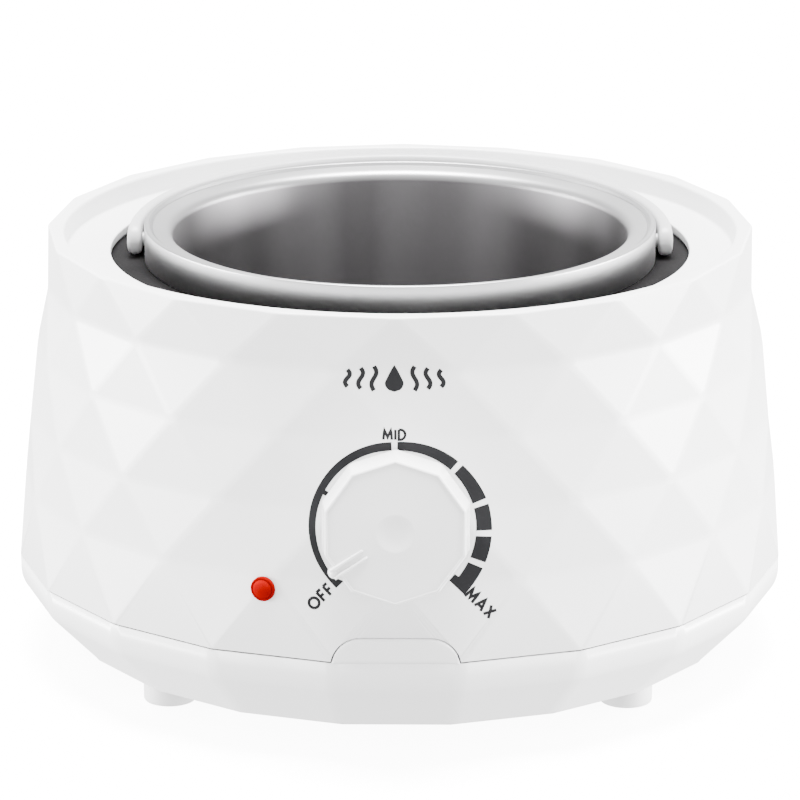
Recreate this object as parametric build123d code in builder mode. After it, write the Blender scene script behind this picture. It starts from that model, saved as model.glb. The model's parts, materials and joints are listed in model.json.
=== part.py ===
from build123d import *
import math
import os

os.makedirs("parts", exist_ok=True)

# Wax warmer pot. Millimetres, +Z up, front of the object towards -Y.
# The origin is on the table, at the middle of the object's box.

# Faceted body: a ring of twenty corners, alternate rings turned by half a pitch.
SIDES = 20
PITCH = 360 / SIDES
RIM_TOP = 104.4
PARTING = 24.7
PARTING_GAP = 0.4
# (height, corner radius, turned by half a pitch) from the rim down to the parting line
BAND_RADIUS = 93.75
UPPER_RINGS = [
    (RIM_TOP, 85.4, False),
    (91.7, 85.7, True),
    (76.3, 88.4, False),
    (60.0, 90.5, True),
    (43.4, 92.0, False),
    (PARTING, BAND_RADIUS, True),
]
BAND_BOTTOM = 18.5
BAND_INNER_DROP = 1.2
BASE_BOTTOM = 4.6
BASE_BOTTOM_RADIUS = 80.4
WALL = 2.4
FLOOR_THICK = 2.4
BEYOND_BODY = 100.0

# Rim shelf and well opening in the upper shell
SHELF_TOP = 99.2
SHELF_BOTTOM = 97.2
SHELF_OUTER_RADIUS = 80.9
RIM_INNER_RADIUS = 81.2
WELL_RADIUS = 70.1

# Front tab of the base shell
TAB_HALF_WIDTH = 14.67
TAB_TOP = 30.3
TAB_CORNER = 6.8
TAB_ROOT = 20.0
TAB_INNER_Y = 85.0
TAB_DEPTH = 12.0
TAB_BRIDGE_Y = 88.0
TAB_BRIDGE_DEPTH = 4.0
TAB_BRIDGE_HEIGHT = 1.4

# Feet and base screws
FOOT_X = 54.3
FOOT_Y = 49.0
FOOT_RADIUS = 6.3
FOOT_STEM_RADIUS = 2.2
FOOT_BARB = 0.7
FOOT_BARB_HEIGHT = 1.6
FOOT_EDGE = 0.8
SCREW_X = 67.5
SCREW_Y = 25.0
BOSS_RADIUS = 4.5
BOSS_TOP = 16.0
POST_RADIUS = 3.6
POST_TOP = 62.0
POST_GAP = 0.2
RIB_BOTTOM = 30.0
RIB_CENTRE = 8.3
RIB_LENGTH = 15.4
RIB_THICK = 2.0
SCREW_SHANK_RADIUS = 1.5
SCREW_SHANK_LENGTH = 16.0
SCREW_HOLE_RADIUS = 1.7
SCREW_HEAD_RADIUS = 2.9
SCREW_HEAD_HEIGHT = 2.0
SCREW_HEAD_CLEARANCE = 0.2
COUNTERBORE_DEPTH = 5.4
RECESS_LENGTH = 3.4
RECESS_WIDTH = 0.7
RECESS_DEPTH = 1.2

# Heater pan
FLANGE_TOP = 96.6
FLANGE_THICK = 0.8
FLANGE_RADIUS = 73.4
PAN_MOUTH_RADIUS = 57.6
PAN_FLOOR_RADIUS = 54.6
PAN_FLOOR = 33.0
PAN_THICK = 1.0
PAN_SHOULDER = 2.4
PAN_SHOULDER_INSET = 0.6
GASKET_MARGIN = 0.2
GASKET_INSET = 0.5

# Clips that hold the pan, on bosses under the shelf
CLIP_COUNT = 4
CLIP_CIRCLE = 77.8
CLIP_BOSS_RADIUS = 3.2
CLIP_BOSS_HEIGHT = 6.0
CLIP_SCREW_RADIUS = 1.2
CLIP_SCREW_HEAD_RADIUS = 2.3
CLIP_SCREW_HEAD_HEIGHT = 1.6
CLIP_THICK = 1.0
CLIP_LENGTH = 9.0
CLIP_WIDTH = 6.0
CLIP_HOLE_RADIUS = 1.3
CLIP_MIDDLE = 76.4
CLIP_LEG = 72.4

# Wax pot
POT_STAND = 0.2
COLLAR_RADIUS = 61.9
COLLAR_THICK = 0.8
COLLAR_TOP = 105.4
POT_MOUTH_RADIUS = 55.3
POT_MOUTH_TOP = 104.0
POT_FLOOR_RADIUS = 51.6
POT_FLOOR = 36.2
POT_THICK = 0.7

# Bail handle
PIVOT_Z = 100.6
BAIL_INNER = 62.4
BAIL_THICK = 3.7
BAIL_WIDTH = 7.5
BAIL_TILT = 2.1
PIN_RADIUS = 1.65
RUNNING_CLEARANCE = 0.05

# Control knob, on an axis that leans up with the front facets
KNOB_ORIGIN = (0, -89.84, 57.1)
KNOB_LEAN = 6.0
KNOB_SIDES = 10
KNOB_BACK = 1.2
KNOB_EDGE = 10.2
KNOB_FACE = 11.0
KNOB_SKIRT_RADIUS = 17.7
KNOB_EDGE_RADIUS = 16.7
KNOB_CENTRE_RADIUS = 3.3
KNOB_POINTER_ANGLE = 214
BUSH_RADIUS = 4.5
BUSH_TIP = 3.4
SHAFT_RADIUS = 3.0
SHAFT_TIP = 9.0
FLAT_BACK = 4.2
FLAT_WIDTH = 2.4
HOLE_START = -8.0
BUSH_HOLE_LENGTH = 16.0
HOLE_LENGTH = 12.0
SPOT_FACE_LENGTH = 4.0

# Indicator lens, radial to the body
LENS_ANGLE = 19.2
LENS_SEAT_RADIUS = 92.0
LENS_Z = 40.7
LENS_RADIUS = 2.9
LENS_STEM_RADIUS = 2.3
LENS_SEAT = 0.1

# Cord gland at the back
GLAND_Z = 38.0
GLAND_SEAT_Y = 92.5
GLAND_BORE = 3.4
GLAND_INNER_BORE = 4.6
GLAND_THROAT = 1.0
GLAND_STEM_RADIUS = 6.0
GLAND_STEM_LENGTH = 10.0
GLAND_COLLAR_RADIUS = 8.4
GLAND_COLLAR_FRONT = 1.5
GLAND_SEAT_DEPTH = 0.9
GLAND_SPOT_RADIUS = 8.6
GLAND_EDGE = 1.0
GLAND_NUT_FACE = -4.9
GLAND_NUT_RADIUS = 9.0
GLAND_NUT_THICK = 3.0


def ring_points(height, radius, turned):
    """Corners of one ring of the faceted body, starting at the front."""
    start = -90 + (PITCH / 2 if turned else 0)
    angles = [math.radians(start + PITCH * i) for i in range(SIDES)]
    return [(radius * math.cos(a), radius * math.sin(a), height) for a in angles]


def facet(*points):
    """One flat face through the given corners."""
    return Face(Wire.make_polygon(points))


def band_facets(upper, lower, upper_turned):
    """Triangles between two rings that are turned by half a pitch."""
    shift = 1 if upper_turned else 0
    faces = []
    for i in range(SIDES):
        after = (i + 1) % SIDES
        apex_low = lower[(i + shift) % SIDES]
        faces.append(facet(upper[i], upper[after], apex_low))
        apex_high = upper[(i + 1 - shift) % SIDES]
        faces.append(facet(lower[i], lower[after], apex_high))
    return faces


def faceted_body(rings):
    """Closed solid through a list of rings, each turned against the one above."""
    loops = [ring_points(*ring) for ring in rings]
    faces = [facet(*loops[0]), facet(*loops[-1])]
    for i in range(len(rings) - 1):
        faces += band_facets(loops[i], loops[i + 1], rings[i][2])
    return Solid(Shell(faces))


def straight_loft(lower, upper):
    """Closed solid between two rings whose corners stand over each other."""
    low = ring_points(*lower)
    high = ring_points(*upper)
    faces = [facet(*low), facet(*high)]
    for i in range(SIDES):
        after = (i + 1) % SIDES
        faces.append(facet(low[i], low[after], high[after], high[i]))
    return Solid(Shell(faces))


def write(part, name):
    """Label a finished part and write its STEP file."""
    part.label = name
    export_step(part, f"parts/{name}.step")


BODY_SOLID = faceted_body(UPPER_RINGS)
FACET_MIDDLE = math.cos(math.radians(PITCH / 2))
INNER_RADII = [(height, radius * FACET_MIDDLE - WALL) for height, radius, turned in UPPER_RINGS[1:]]
CAVITY_TOP_RADIUS = INNER_RADII[0][1]
CAVITY_PARTING_RADIUS = INNER_RADII[-1][1]
KNOB_PLANE = Plane(
    origin=KNOB_ORIGIN,
    x_dir=(1, 0, 0),
    z_dir=(0, -math.cos(math.radians(KNOB_LEAN)), math.sin(math.radians(KNOB_LEAN))),
)
LENS_TURN = math.radians(-90 - LENS_ANGLE)
LENS_PLANE = Plane(
    origin=(LENS_SEAT_RADIUS * math.cos(LENS_TURN), LENS_SEAT_RADIUS * math.sin(LENS_TURN), LENS_Z),
    x_dir=(-math.sin(LENS_TURN), math.cos(LENS_TURN), 0),
    z_dir=(math.cos(LENS_TURN), math.sin(LENS_TURN), 0),
)
GLAND_PLANE = Plane(origin=(0, GLAND_SEAT_Y, GLAND_Z), x_dir=(-1, 0, 0), z_dir=(0, 1, 0))

# Inner cavity of the upper shell, from below the parting line to the shelf
with BuildPart() as shell_cavity:
    with BuildSketch(Plane.XZ) as cavity_section:
        with BuildLine():
            Polyline(
                (0, SHELF_BOTTOM),
                (CAVITY_TOP_RADIUS, SHELF_BOTTOM),
                *[(radius, height) for height, radius in INNER_RADII],
                (CAVITY_PARTING_RADIUS, TAB_ROOT),
                (0, TAB_ROOT),
                close=True,
            )
        make_face()
    revolve(axis=Axis.Z)

# Prism of the front tab, and the slightly larger one that notches the upper shell
with BuildPart() as tab_prism:
    with BuildSketch(Plane.XZ.offset(TAB_INNER_Y)) as tab_outline:
        with BuildLine():
            Polyline(
                (-TAB_HALF_WIDTH, TAB_ROOT),
                (TAB_HALF_WIDTH, TAB_ROOT),
                (TAB_HALF_WIDTH, TAB_TOP),
                (-TAB_HALF_WIDTH, TAB_TOP),
                close=True,
            )
        make_face()
        fillet(tab_outline.vertices().group_by(Axis.Y)[-1], TAB_CORNER)
    extrude(amount=TAB_DEPTH)

with BuildPart() as notch_prism:
    with BuildSketch(Plane.XZ.offset(TAB_INNER_Y)) as notch_outline:
        add(tab_outline.sketch_local)
        offset(amount=PARTING_GAP)
    extrude(amount=TAB_DEPTH)

UPPER_BOTTOM = PARTING + PARTING_GAP / 2
BASE_TOP = PARTING - PARTING_GAP / 2

with BuildPart() as upper_shell:
    add(BODY_SOLID)
    # The stretch below the parting gap belongs to the base shell
    with BuildSketch(Plane.XY.offset(PARTING)):
        Circle(BEYOND_BODY)
    extrude(amount=UPPER_BOTTOM - PARTING, mode=Mode.SUBTRACT)
    add(shell_cavity.part, mode=Mode.SUBTRACT)
    # Recess above the shelf, with a little draft
    with BuildSketch(Plane.XZ):
        with BuildLine():
            Polyline(
                (0, SHELF_TOP),
                (SHELF_OUTER_RADIUS, SHELF_TOP),
                (RIM_INNER_RADIUS, RIM_TOP),
                (0, RIM_TOP),
                close=True,
            )
        make_face()
    revolve(axis=Axis.Z, mode=Mode.SUBTRACT)
    with BuildSketch(Plane.XY.offset(SHELF_BOTTOM)):
        Circle(WELL_RADIUS)
    extrude(amount=SHELF_TOP - SHELF_BOTTOM, mode=Mode.SUBTRACT)
    add(notch_prism.part, mode=Mode.SUBTRACT)
    # Screw posts, each joined to the wall by a rib
    with BuildSketch(Plane.XY.offset(BOSS_TOP + POST_GAP)):
        with GridLocations(2 * SCREW_X, 2 * SCREW_Y, 2, 2):
            Circle(POST_RADIUS)
    extrude(amount=POST_TOP - BOSS_TOP)
    with BuildSketch(Plane.XY.offset(RIB_BOTTOM)):
        with GridLocations(2 * (SCREW_X + RIB_CENTRE), 2 * SCREW_Y, 2, 2):
            Rectangle(RIB_LENGTH, RIB_THICK)
    extrude(amount=POST_TOP - RIB_BOTTOM)
    with BuildSketch(Plane.XY.offset(BOSS_TOP)):
        with GridLocations(2 * SCREW_X, 2 * SCREW_Y, 2, 2):
            Circle(SCREW_SHANK_RADIUS)
    extrude(amount=SCREW_SHANK_LENGTH, mode=Mode.SUBTRACT)
    # Bosses under the shelf for the pan clips
    with BuildSketch(Plane.XY.offset(SHELF_BOTTOM)):
        with PolarLocations(CLIP_CIRCLE, CLIP_COUNT, start_angle=45):
            Circle(CLIP_BOSS_RADIUS)
    extrude(amount=-CLIP_BOSS_HEIGHT)
    with BuildSketch(Plane.XY.offset(SHELF_BOTTOM - CLIP_BOSS_HEIGHT)):
        with PolarLocations(CLIP_CIRCLE, CLIP_COUNT, start_angle=45):
            Circle(CLIP_SCREW_RADIUS)
    extrude(amount=CLIP_BOSS_HEIGHT, mode=Mode.SUBTRACT)
    # Holes for the thermostat bush, the indicator lens and the cord gland
    with BuildSketch(KNOB_PLANE.offset(HOLE_START)):
        Circle(BUSH_RADIUS + RUNNING_CLEARANCE)
    extrude(amount=BUSH_HOLE_LENGTH, mode=Mode.SUBTRACT)
    with BuildSketch(LENS_PLANE.offset(HOLE_START)):
        Circle(LENS_STEM_RADIUS + RUNNING_CLEARANCE)
    extrude(amount=HOLE_LENGTH, mode=Mode.SUBTRACT)
    # Flat seat for the lens's flange
    with BuildSketch(LENS_PLANE.offset(LENS_SEAT)):
        Circle(LENS_RADIUS + RUNNING_CLEARANCE)
    extrude(amount=SPOT_FACE_LENGTH, mode=Mode.SUBTRACT)
    with BuildSketch(GLAND_PLANE.offset(HOLE_START)):
        Circle(GLAND_STEM_RADIUS + RUNNING_CLEARANCE)
    extrude(amount=HOLE_LENGTH, mode=Mode.SUBTRACT)
    # Flat seat for the gland's collar
    with BuildSketch(GLAND_PLANE.offset(-GLAND_SEAT_DEPTH)):
        Circle(GLAND_SPOT_RADIUS)
    extrude(amount=SPOT_FACE_LENGTH, mode=Mode.SUBTRACT)
write(upper_shell.part, "upper_shell")

BAND_SOLID = straight_loft((BAND_BOTTOM, BAND_RADIUS, True), (BASE_TOP, BAND_RADIUS, True))
UNDERSIDE_SOLID = straight_loft((BASE_BOTTOM, BASE_BOTTOM_RADIUS, True), (BAND_BOTTOM, BAND_RADIUS, True))
COUNTERBORE_RADIUS = SCREW_HEAD_RADIUS + SCREW_HEAD_CLEARANCE
HOLE_ALIGN = (Align.CENTER, Align.CENTER, Align.MIN)

with BuildPart() as base_shell:
    add(BAND_SOLID)
    add(UNDERSIDE_SOLID)
    with BuildSketch(Plane.XZ):
        with BuildLine():
            Polyline(
                (0, BASE_BOTTOM + FLOOR_THICK),
                (BASE_BOTTOM_RADIUS - WALL, BASE_BOTTOM + FLOOR_THICK),
                (CAVITY_PARTING_RADIUS, BAND_BOTTOM + BAND_INNER_DROP),
                (CAVITY_PARTING_RADIUS, PARTING + 1),
                (0, PARTING + 1),
                close=True,
            )
        make_face()
    revolve(axis=Axis.Z, mode=Mode.SUBTRACT)
    # Bosses for the base screws, counterbored from below
    with BuildSketch(Plane.XY.offset(BASE_BOTTOM)):
        with GridLocations(2 * SCREW_X, 2 * SCREW_Y, 2, 2):
            Circle(BOSS_RADIUS)
    extrude(amount=BOSS_TOP - BASE_BOTTOM)
    with Locations(Plane.XY.offset(BASE_BOTTOM)):
        with GridLocations(2 * SCREW_X, 2 * SCREW_Y, 2, 2):
            Cylinder(COUNTERBORE_RADIUS, COUNTERBORE_DEPTH, align=HOLE_ALIGN, mode=Mode.SUBTRACT)
            Cylinder(SCREW_HOLE_RADIUS, BOSS_TOP, align=HOLE_ALIGN, mode=Mode.SUBTRACT)
        with GridLocations(2 * FOOT_X, 2 * FOOT_Y, 2, 2):
            Cylinder(FOOT_STEM_RADIUS, FLOOR_THICK, align=HOLE_ALIGN, mode=Mode.SUBTRACT)

# The tab follows the faceted wall of the upper shell
TAB_SOLID = (BODY_SOLID & tab_prism.part) - shell_cavity.part
with BuildPart() as base_with_tab:
    add(base_shell.part)
    add(TAB_SOLID)
    with BuildSketch(Plane.XZ.offset(TAB_BRIDGE_Y)):
        with Locations((0, (BASE_TOP + PARTING) / 2)):
            Rectangle(2 * TAB_HALF_WIDTH - PARTING_GAP, TAB_BRIDGE_HEIGHT)
    extrude(amount=TAB_BRIDGE_DEPTH)
write(base_with_tab.part, "base_shell")

# Feet: a round pad with a barbed stem through the floor
for number in range(4):
    side_x = 1 if number % 2 else -1
    side_y = 1 if number > 1 else -1
    foot_plane = Plane(origin=(side_x * FOOT_X, side_y * FOOT_Y, 0))
    with BuildPart() as foot:
        with BuildSketch(foot_plane):
            Circle(FOOT_RADIUS)
        extrude(amount=BASE_BOTTOM)
        fillet(foot.faces().sort_by(Axis.Z)[0].edges(), FOOT_EDGE)
        with BuildSketch(foot_plane.offset(BASE_BOTTOM)):
            Circle(FOOT_STEM_RADIUS)
        extrude(amount=FLOOR_THICK)
        with BuildSketch(foot_plane.offset(BASE_BOTTOM + FLOOR_THICK)):
            Circle(FOOT_STEM_RADIUS + FOOT_BARB)
        extrude(amount=FOOT_BARB_HEIGHT, taper=25)
    write(foot.part, f"foot_{number + 1}")

# Base screws: cross-recessed heads, shanks up into the posts
SCREW_SEAT = BASE_BOTTOM + COUNTERBORE_DEPTH
with BuildPart() as base_screws:
    with BuildSketch(Plane.XY.offset(SCREW_SEAT)):
        with GridLocations(2 * SCREW_X, 2 * SCREW_Y, 2, 2):
            Circle(SCREW_HEAD_RADIUS)
    extrude(amount=-SCREW_HEAD_HEIGHT)
    with BuildSketch(Plane.XY.offset(SCREW_SEAT)):
        with GridLocations(2 * SCREW_X, 2 * SCREW_Y, 2, 2):
            Circle(SCREW_SHANK_RADIUS)
    extrude(amount=SCREW_SHANK_LENGTH)
    with BuildSketch(Plane.XY.offset(SCREW_SEAT - SCREW_HEAD_HEIGHT)):
        with GridLocations(2 * SCREW_X, 2 * SCREW_Y, 2, 2):
            Rectangle(RECESS_LENGTH, RECESS_WIDTH)
            Rectangle(RECESS_WIDTH, RECESS_LENGTH)
    extrude(amount=RECESS_DEPTH, mode=Mode.SUBTRACT)
write(base_screws.part, "base_screws")

# Heater pan: flange, rounded shoulder, tapered wall and flat floor
with BuildPart() as heater_pan:
    with BuildSketch(Plane.XZ):
        with BuildLine():
            Polyline(
                (0, PAN_FLOOR - PAN_THICK),
                (PAN_FLOOR_RADIUS + PAN_THICK, PAN_FLOOR - PAN_THICK),
                (PAN_MOUTH_RADIUS + PAN_THICK, FLANGE_TOP - PAN_SHOULDER),
                (PAN_MOUTH_RADIUS + PAN_SHOULDER, FLANGE_TOP - FLANGE_THICK),
                (FLANGE_RADIUS, FLANGE_TOP - FLANGE_THICK),
                (FLANGE_RADIUS, FLANGE_TOP),
                (PAN_MOUTH_RADIUS + PAN_SHOULDER - PAN_SHOULDER_INSET, FLANGE_TOP),
                (PAN_MOUTH_RADIUS, FLANGE_TOP - PAN_SHOULDER),
                (PAN_FLOOR_RADIUS, PAN_FLOOR),
                (0, PAN_FLOOR),
                close=True,
            )
        make_face()
    revolve(axis=Axis.Z)
write(heater_pan.part, "heater_pan")

with BuildPart() as pan_gasket:
    with BuildSketch(Plane.XY.offset(FLANGE_TOP)):
        Circle(FLANGE_RADIUS - GASKET_MARGIN)
        Circle(WELL_RADIUS + GASKET_INSET, mode=Mode.SUBTRACT)
    extrude(amount=SHELF_BOTTOM - FLANGE_TOP)
write(pan_gasket.part, "pan_gasket")

# Bent clips that press the pan's flange up against the gasket, and their screws
CLIP_SEAT = SHELF_BOTTOM - CLIP_BOSS_HEIGHT
with BuildPart() as pan_clips:
    with BuildSketch(Plane.XY.offset(CLIP_SEAT - CLIP_THICK)):
        with PolarLocations(CLIP_MIDDLE, CLIP_COUNT, start_angle=45):
            Rectangle(CLIP_LENGTH, CLIP_WIDTH)
    extrude(amount=CLIP_THICK)
    with BuildSketch(Plane.XY.offset(CLIP_SEAT)):
        with PolarLocations(CLIP_LEG, CLIP_COUNT, start_angle=45):
            Rectangle(CLIP_THICK, CLIP_WIDTH)
    extrude(amount=FLANGE_TOP - FLANGE_THICK - CLIP_SEAT)
    with BuildSketch(Plane.XY.offset(CLIP_SEAT - CLIP_THICK)):
        with PolarLocations(CLIP_CIRCLE, CLIP_COUNT, start_angle=45):
            Circle(CLIP_HOLE_RADIUS)
    extrude(amount=CLIP_THICK, mode=Mode.SUBTRACT)
write(pan_clips.part, "pan_clips")

with BuildPart() as pan_clip_screws:
    with BuildSketch(Plane.XY.offset(CLIP_SEAT - CLIP_THICK)):
        with PolarLocations(CLIP_CIRCLE, CLIP_COUNT, start_angle=45):
            Circle(CLIP_SCREW_HEAD_RADIUS)
    extrude(amount=-CLIP_SCREW_HEAD_HEIGHT)
    with BuildSketch(Plane.XY.offset(CLIP_SEAT - CLIP_THICK)):
        with PolarLocations(CLIP_CIRCLE, CLIP_COUNT, start_angle=45):
            Circle(CLIP_SCREW_RADIUS)
    extrude(amount=CLIP_BOSS_HEIGHT)
write(pan_clip_screws.part, "pan_clip_screws")

# Ring element under the pan, held by a plate on the pan's welded stud
ELEMENT_HEIGHT = 3.0
ELEMENT_OUTER = 42.0
ELEMENT_INNER = 30.0
TERMINAL_X = 5.0
TERMINAL_Y = -45.0
TERMINAL_WIDTH = 4.0
TERMINAL_LENGTH = 8.0
TERMINAL_THICK = 0.8
ELEMENT_BOTTOM = PAN_FLOOR - PAN_THICK - ELEMENT_HEIGHT
PLATE_THICK = 1.0
PLATE_RADIUS = 40.0
PLATE_HOLE_CIRCLE = 20.0
PLATE_HOLE_RADIUS = 4.0
PLATE_BOTTOM = ELEMENT_BOTTOM - PLATE_THICK
STUD_RADIUS = 2.0
STUD_CLEARANCE = 0.2
STUD_LENGTH = 10.0
CLAMP_NUT_RADIUS = 4.0
CLAMP_NUT_THICK = 3.0
with BuildPart() as heating_element:
    with BuildSketch(Plane.XY.offset(ELEMENT_BOTTOM)):
        Circle(ELEMENT_OUTER)
        Circle(ELEMENT_INNER, mode=Mode.SUBTRACT)
    extrude(amount=ELEMENT_HEIGHT)
    with BuildSketch(Plane.XY.offset(ELEMENT_BOTTOM + ELEMENT_HEIGHT / 3)):
        with Locations((-TERMINAL_X, TERMINAL_Y), (TERMINAL_X, TERMINAL_Y)):
            Rectangle(TERMINAL_WIDTH, TERMINAL_LENGTH)
    extrude(amount=TERMINAL_THICK)
write(heating_element.part, "heating_element")

with BuildPart() as element_clamp_plate:
    with BuildSketch(Plane.XY.offset(PLATE_BOTTOM)):
        Circle(PLATE_RADIUS)
        Circle(STUD_RADIUS + STUD_CLEARANCE, mode=Mode.SUBTRACT)
        with PolarLocations(PLATE_HOLE_CIRCLE, 6, start_angle=30):
            Circle(PLATE_HOLE_RADIUS, mode=Mode.SUBTRACT)
    extrude(amount=PLATE_THICK)
write(element_clamp_plate.part, "element_clamp_plate")

with BuildPart() as clamp_stud:
    with BuildSketch(Plane.XY.offset(PAN_FLOOR - PAN_THICK)):
        Circle(STUD_RADIUS)
    extrude(amount=-STUD_LENGTH)
write(clamp_stud.part, "clamp_stud")

with BuildPart() as clamp_nut:
    with BuildSketch(Plane.XY.offset(PLATE_BOTTOM)):
        RegularPolygon(CLAMP_NUT_RADIUS, 6)
        Circle(STUD_RADIUS, mode=Mode.SUBTRACT)
    extrude(amount=-CLAMP_NUT_THICK)
write(clamp_nut.part, "clamp_nut")

# Thermal fuse held against the plate by a bent strap
FUSE_Y = 30.0
FUSE_RADIUS = 1.9
FUSE_LENGTH = 14.0
FUSE_LEAD_RADIUS = 0.5
FUSE_LEAD_LENGTH = 26.0
FUSE_Z = PLATE_BOTTOM - FUSE_RADIUS
with BuildPart() as thermal_fuse:
    with BuildSketch(Plane.YZ.offset(-FUSE_LENGTH / 2)):
        with Locations((FUSE_Y, FUSE_Z)):
            Circle(FUSE_RADIUS)
    extrude(amount=FUSE_LENGTH)
    with BuildSketch(Plane.YZ.offset(-FUSE_LEAD_LENGTH / 2)):
        with Locations((FUSE_Y, FUSE_Z)):
            Circle(FUSE_LEAD_RADIUS)
    extrude(amount=FUSE_LEAD_LENGTH)
write(thermal_fuse.part, "thermal_fuse")

STRAP_THICK = 0.6
STRAP_WIDTH = 5.0
STRAP_SPAN = 14.0
STRAP_OPENING = 0.7
with BuildPart() as fuse_clip:
    with BuildSketch(Plane.YZ.offset(-STRAP_WIDTH / 2)):
        with Locations((FUSE_Y, FUSE_Z)):
            Circle(FUSE_RADIUS + STRAP_THICK)
        with Locations((FUSE_Y, FUSE_Z + FUSE_RADIUS / 2)):
            Rectangle(2 * (FUSE_RADIUS + STRAP_THICK), FUSE_RADIUS)
        with Locations((FUSE_Y, PLATE_BOTTOM - STRAP_THICK / 2)):
            Rectangle(STRAP_SPAN, STRAP_THICK)
        with Locations((FUSE_Y, FUSE_Z)):
            Circle(FUSE_RADIUS, mode=Mode.SUBTRACT)
        with Locations((FUSE_Y, FUSE_Z + FUSE_RADIUS / 2 + STRAP_OPENING)):
            Rectangle(2 * FUSE_RADIUS, FUSE_RADIUS + 2 * STRAP_OPENING, mode=Mode.SUBTRACT)
    extrude(amount=STRAP_WIDTH)
write(fuse_clip.part, "fuse_clip")

# Thermostat behind the front wall, with its threaded bush, washer and nut
THERMOSTAT_FRONT = -5.0
THERMOSTAT_WIDTH = 26.0
THERMOSTAT_HEIGHT = 22.0
THERMOSTAT_CORNER = 3.0
THERMOSTAT_DEPTH = 12.0
BLADE_X = 7.0
BLADE_DROP = 6.0
BLADE_WIDTH = 5.0
BLADE_THICK = 0.8
BLADE_LENGTH = 7.0
SHAFT_POCKET = 6.0
SHAFT_END_PLAY = 0.1
with BuildPart() as thermostat_body:
    with BuildSketch(KNOB_PLANE.offset(THERMOSTAT_FRONT)):
        RectangleRounded(THERMOSTAT_WIDTH, THERMOSTAT_HEIGHT, THERMOSTAT_CORNER)
    extrude(amount=-THERMOSTAT_DEPTH)
    with BuildSketch(KNOB_PLANE.offset(THERMOSTAT_FRONT)):
        Circle(BUSH_RADIUS)
    extrude(amount=BUSH_TIP - THERMOSTAT_FRONT)
    with BuildSketch(KNOB_PLANE.offset(THERMOSTAT_FRONT - THERMOSTAT_DEPTH)):
        with Locations((-BLADE_X, -BLADE_DROP), (BLADE_X, -BLADE_DROP)):
            Rectangle(BLADE_WIDTH, BLADE_THICK)
    extrude(amount=-BLADE_LENGTH)
    with BuildSketch(KNOB_PLANE.offset(THERMOSTAT_FRONT - SHAFT_POCKET)):
        Circle(SHAFT_RADIUS + RUNNING_CLEARANCE)
    extrude(amount=SHAFT_POCKET + BUSH_HOLE_LENGTH, mode=Mode.SUBTRACT)
write(thermostat_body.part, "thermostat_body")

WASHER_BACK = 0.5
WASHER_THICK = 0.6
WASHER_RADIUS = 8.2
NUT_THICK = 2.0
NUT_RADIUS = 7.4
with BuildPart() as thermostat_washer:
    with BuildSketch(KNOB_PLANE.offset(WASHER_BACK)):
        Circle(WASHER_RADIUS)
        Circle(BUSH_RADIUS, mode=Mode.SUBTRACT)
    extrude(amount=WASHER_THICK)
write(thermostat_washer.part, "thermostat_washer")

with BuildPart() as thermostat_nut:
    with BuildSketch(KNOB_PLANE.offset(WASHER_BACK + WASHER_THICK)):
        RegularPolygon(NUT_RADIUS, 6)
        Circle(BUSH_RADIUS, mode=Mode.SUBTRACT)
    extrude(amount=NUT_THICK)
write(thermostat_nut.part, "thermostat_nut")

# Thermostat shaft, flatted where the knob grips it
SHAFT_BACK = THERMOSTAT_FRONT - SHAFT_POCKET + SHAFT_END_PLAY
with BuildPart() as thermostat_shaft:
    with BuildSketch(KNOB_PLANE.offset(SHAFT_BACK)):
        Circle(SHAFT_RADIUS)
    extrude(amount=SHAFT_TIP - SHAFT_BACK)
    with BuildSketch(KNOB_PLANE.offset(FLAT_BACK)):
        with Locations((0, -SHAFT_RADIUS)):
            Rectangle(2 * SHAFT_RADIUS, FLAT_WIDTH)
    extrude(amount=SHAFT_TIP - FLAT_BACK, mode=Mode.SUBTRACT)
write(thermostat_shaft.part, "thermostat_shaft")


def knob_ring(height, radius, turned):
    """Corners of one ring of the gem-cut knob, in the knob's own plane."""
    start = 90 + (180 / KNOB_SIDES if turned else 0)
    angles = [math.radians(start + 360 / KNOB_SIDES * i) for i in range(KNOB_SIDES)]
    corners = [(radius * math.cos(a), radius * math.sin(a), height) for a in angles]
    return [KNOB_PLANE.from_local_coords(corner) for corner in corners]


def knob_solid():
    """Ten-sided skirt with a shallow crown of triangles round a small flat."""
    back = knob_ring(KNOB_BACK, KNOB_SKIRT_RADIUS, False)
    edge = knob_ring(KNOB_EDGE, KNOB_EDGE_RADIUS, False)
    crown = knob_ring(KNOB_FACE, KNOB_CENTRE_RADIUS, True)
    faces = [facet(*back), facet(*crown)]
    for i in range(KNOB_SIDES):
        after = (i + 1) % KNOB_SIDES
        faces.append(facet(back[i], back[after], edge[after], edge[i]))
        faces.append(facet(edge[i], edge[after], crown[i]))
        faces.append(facet(crown[i], crown[after], edge[after]))
    return Solid(Shell(faces))


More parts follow.
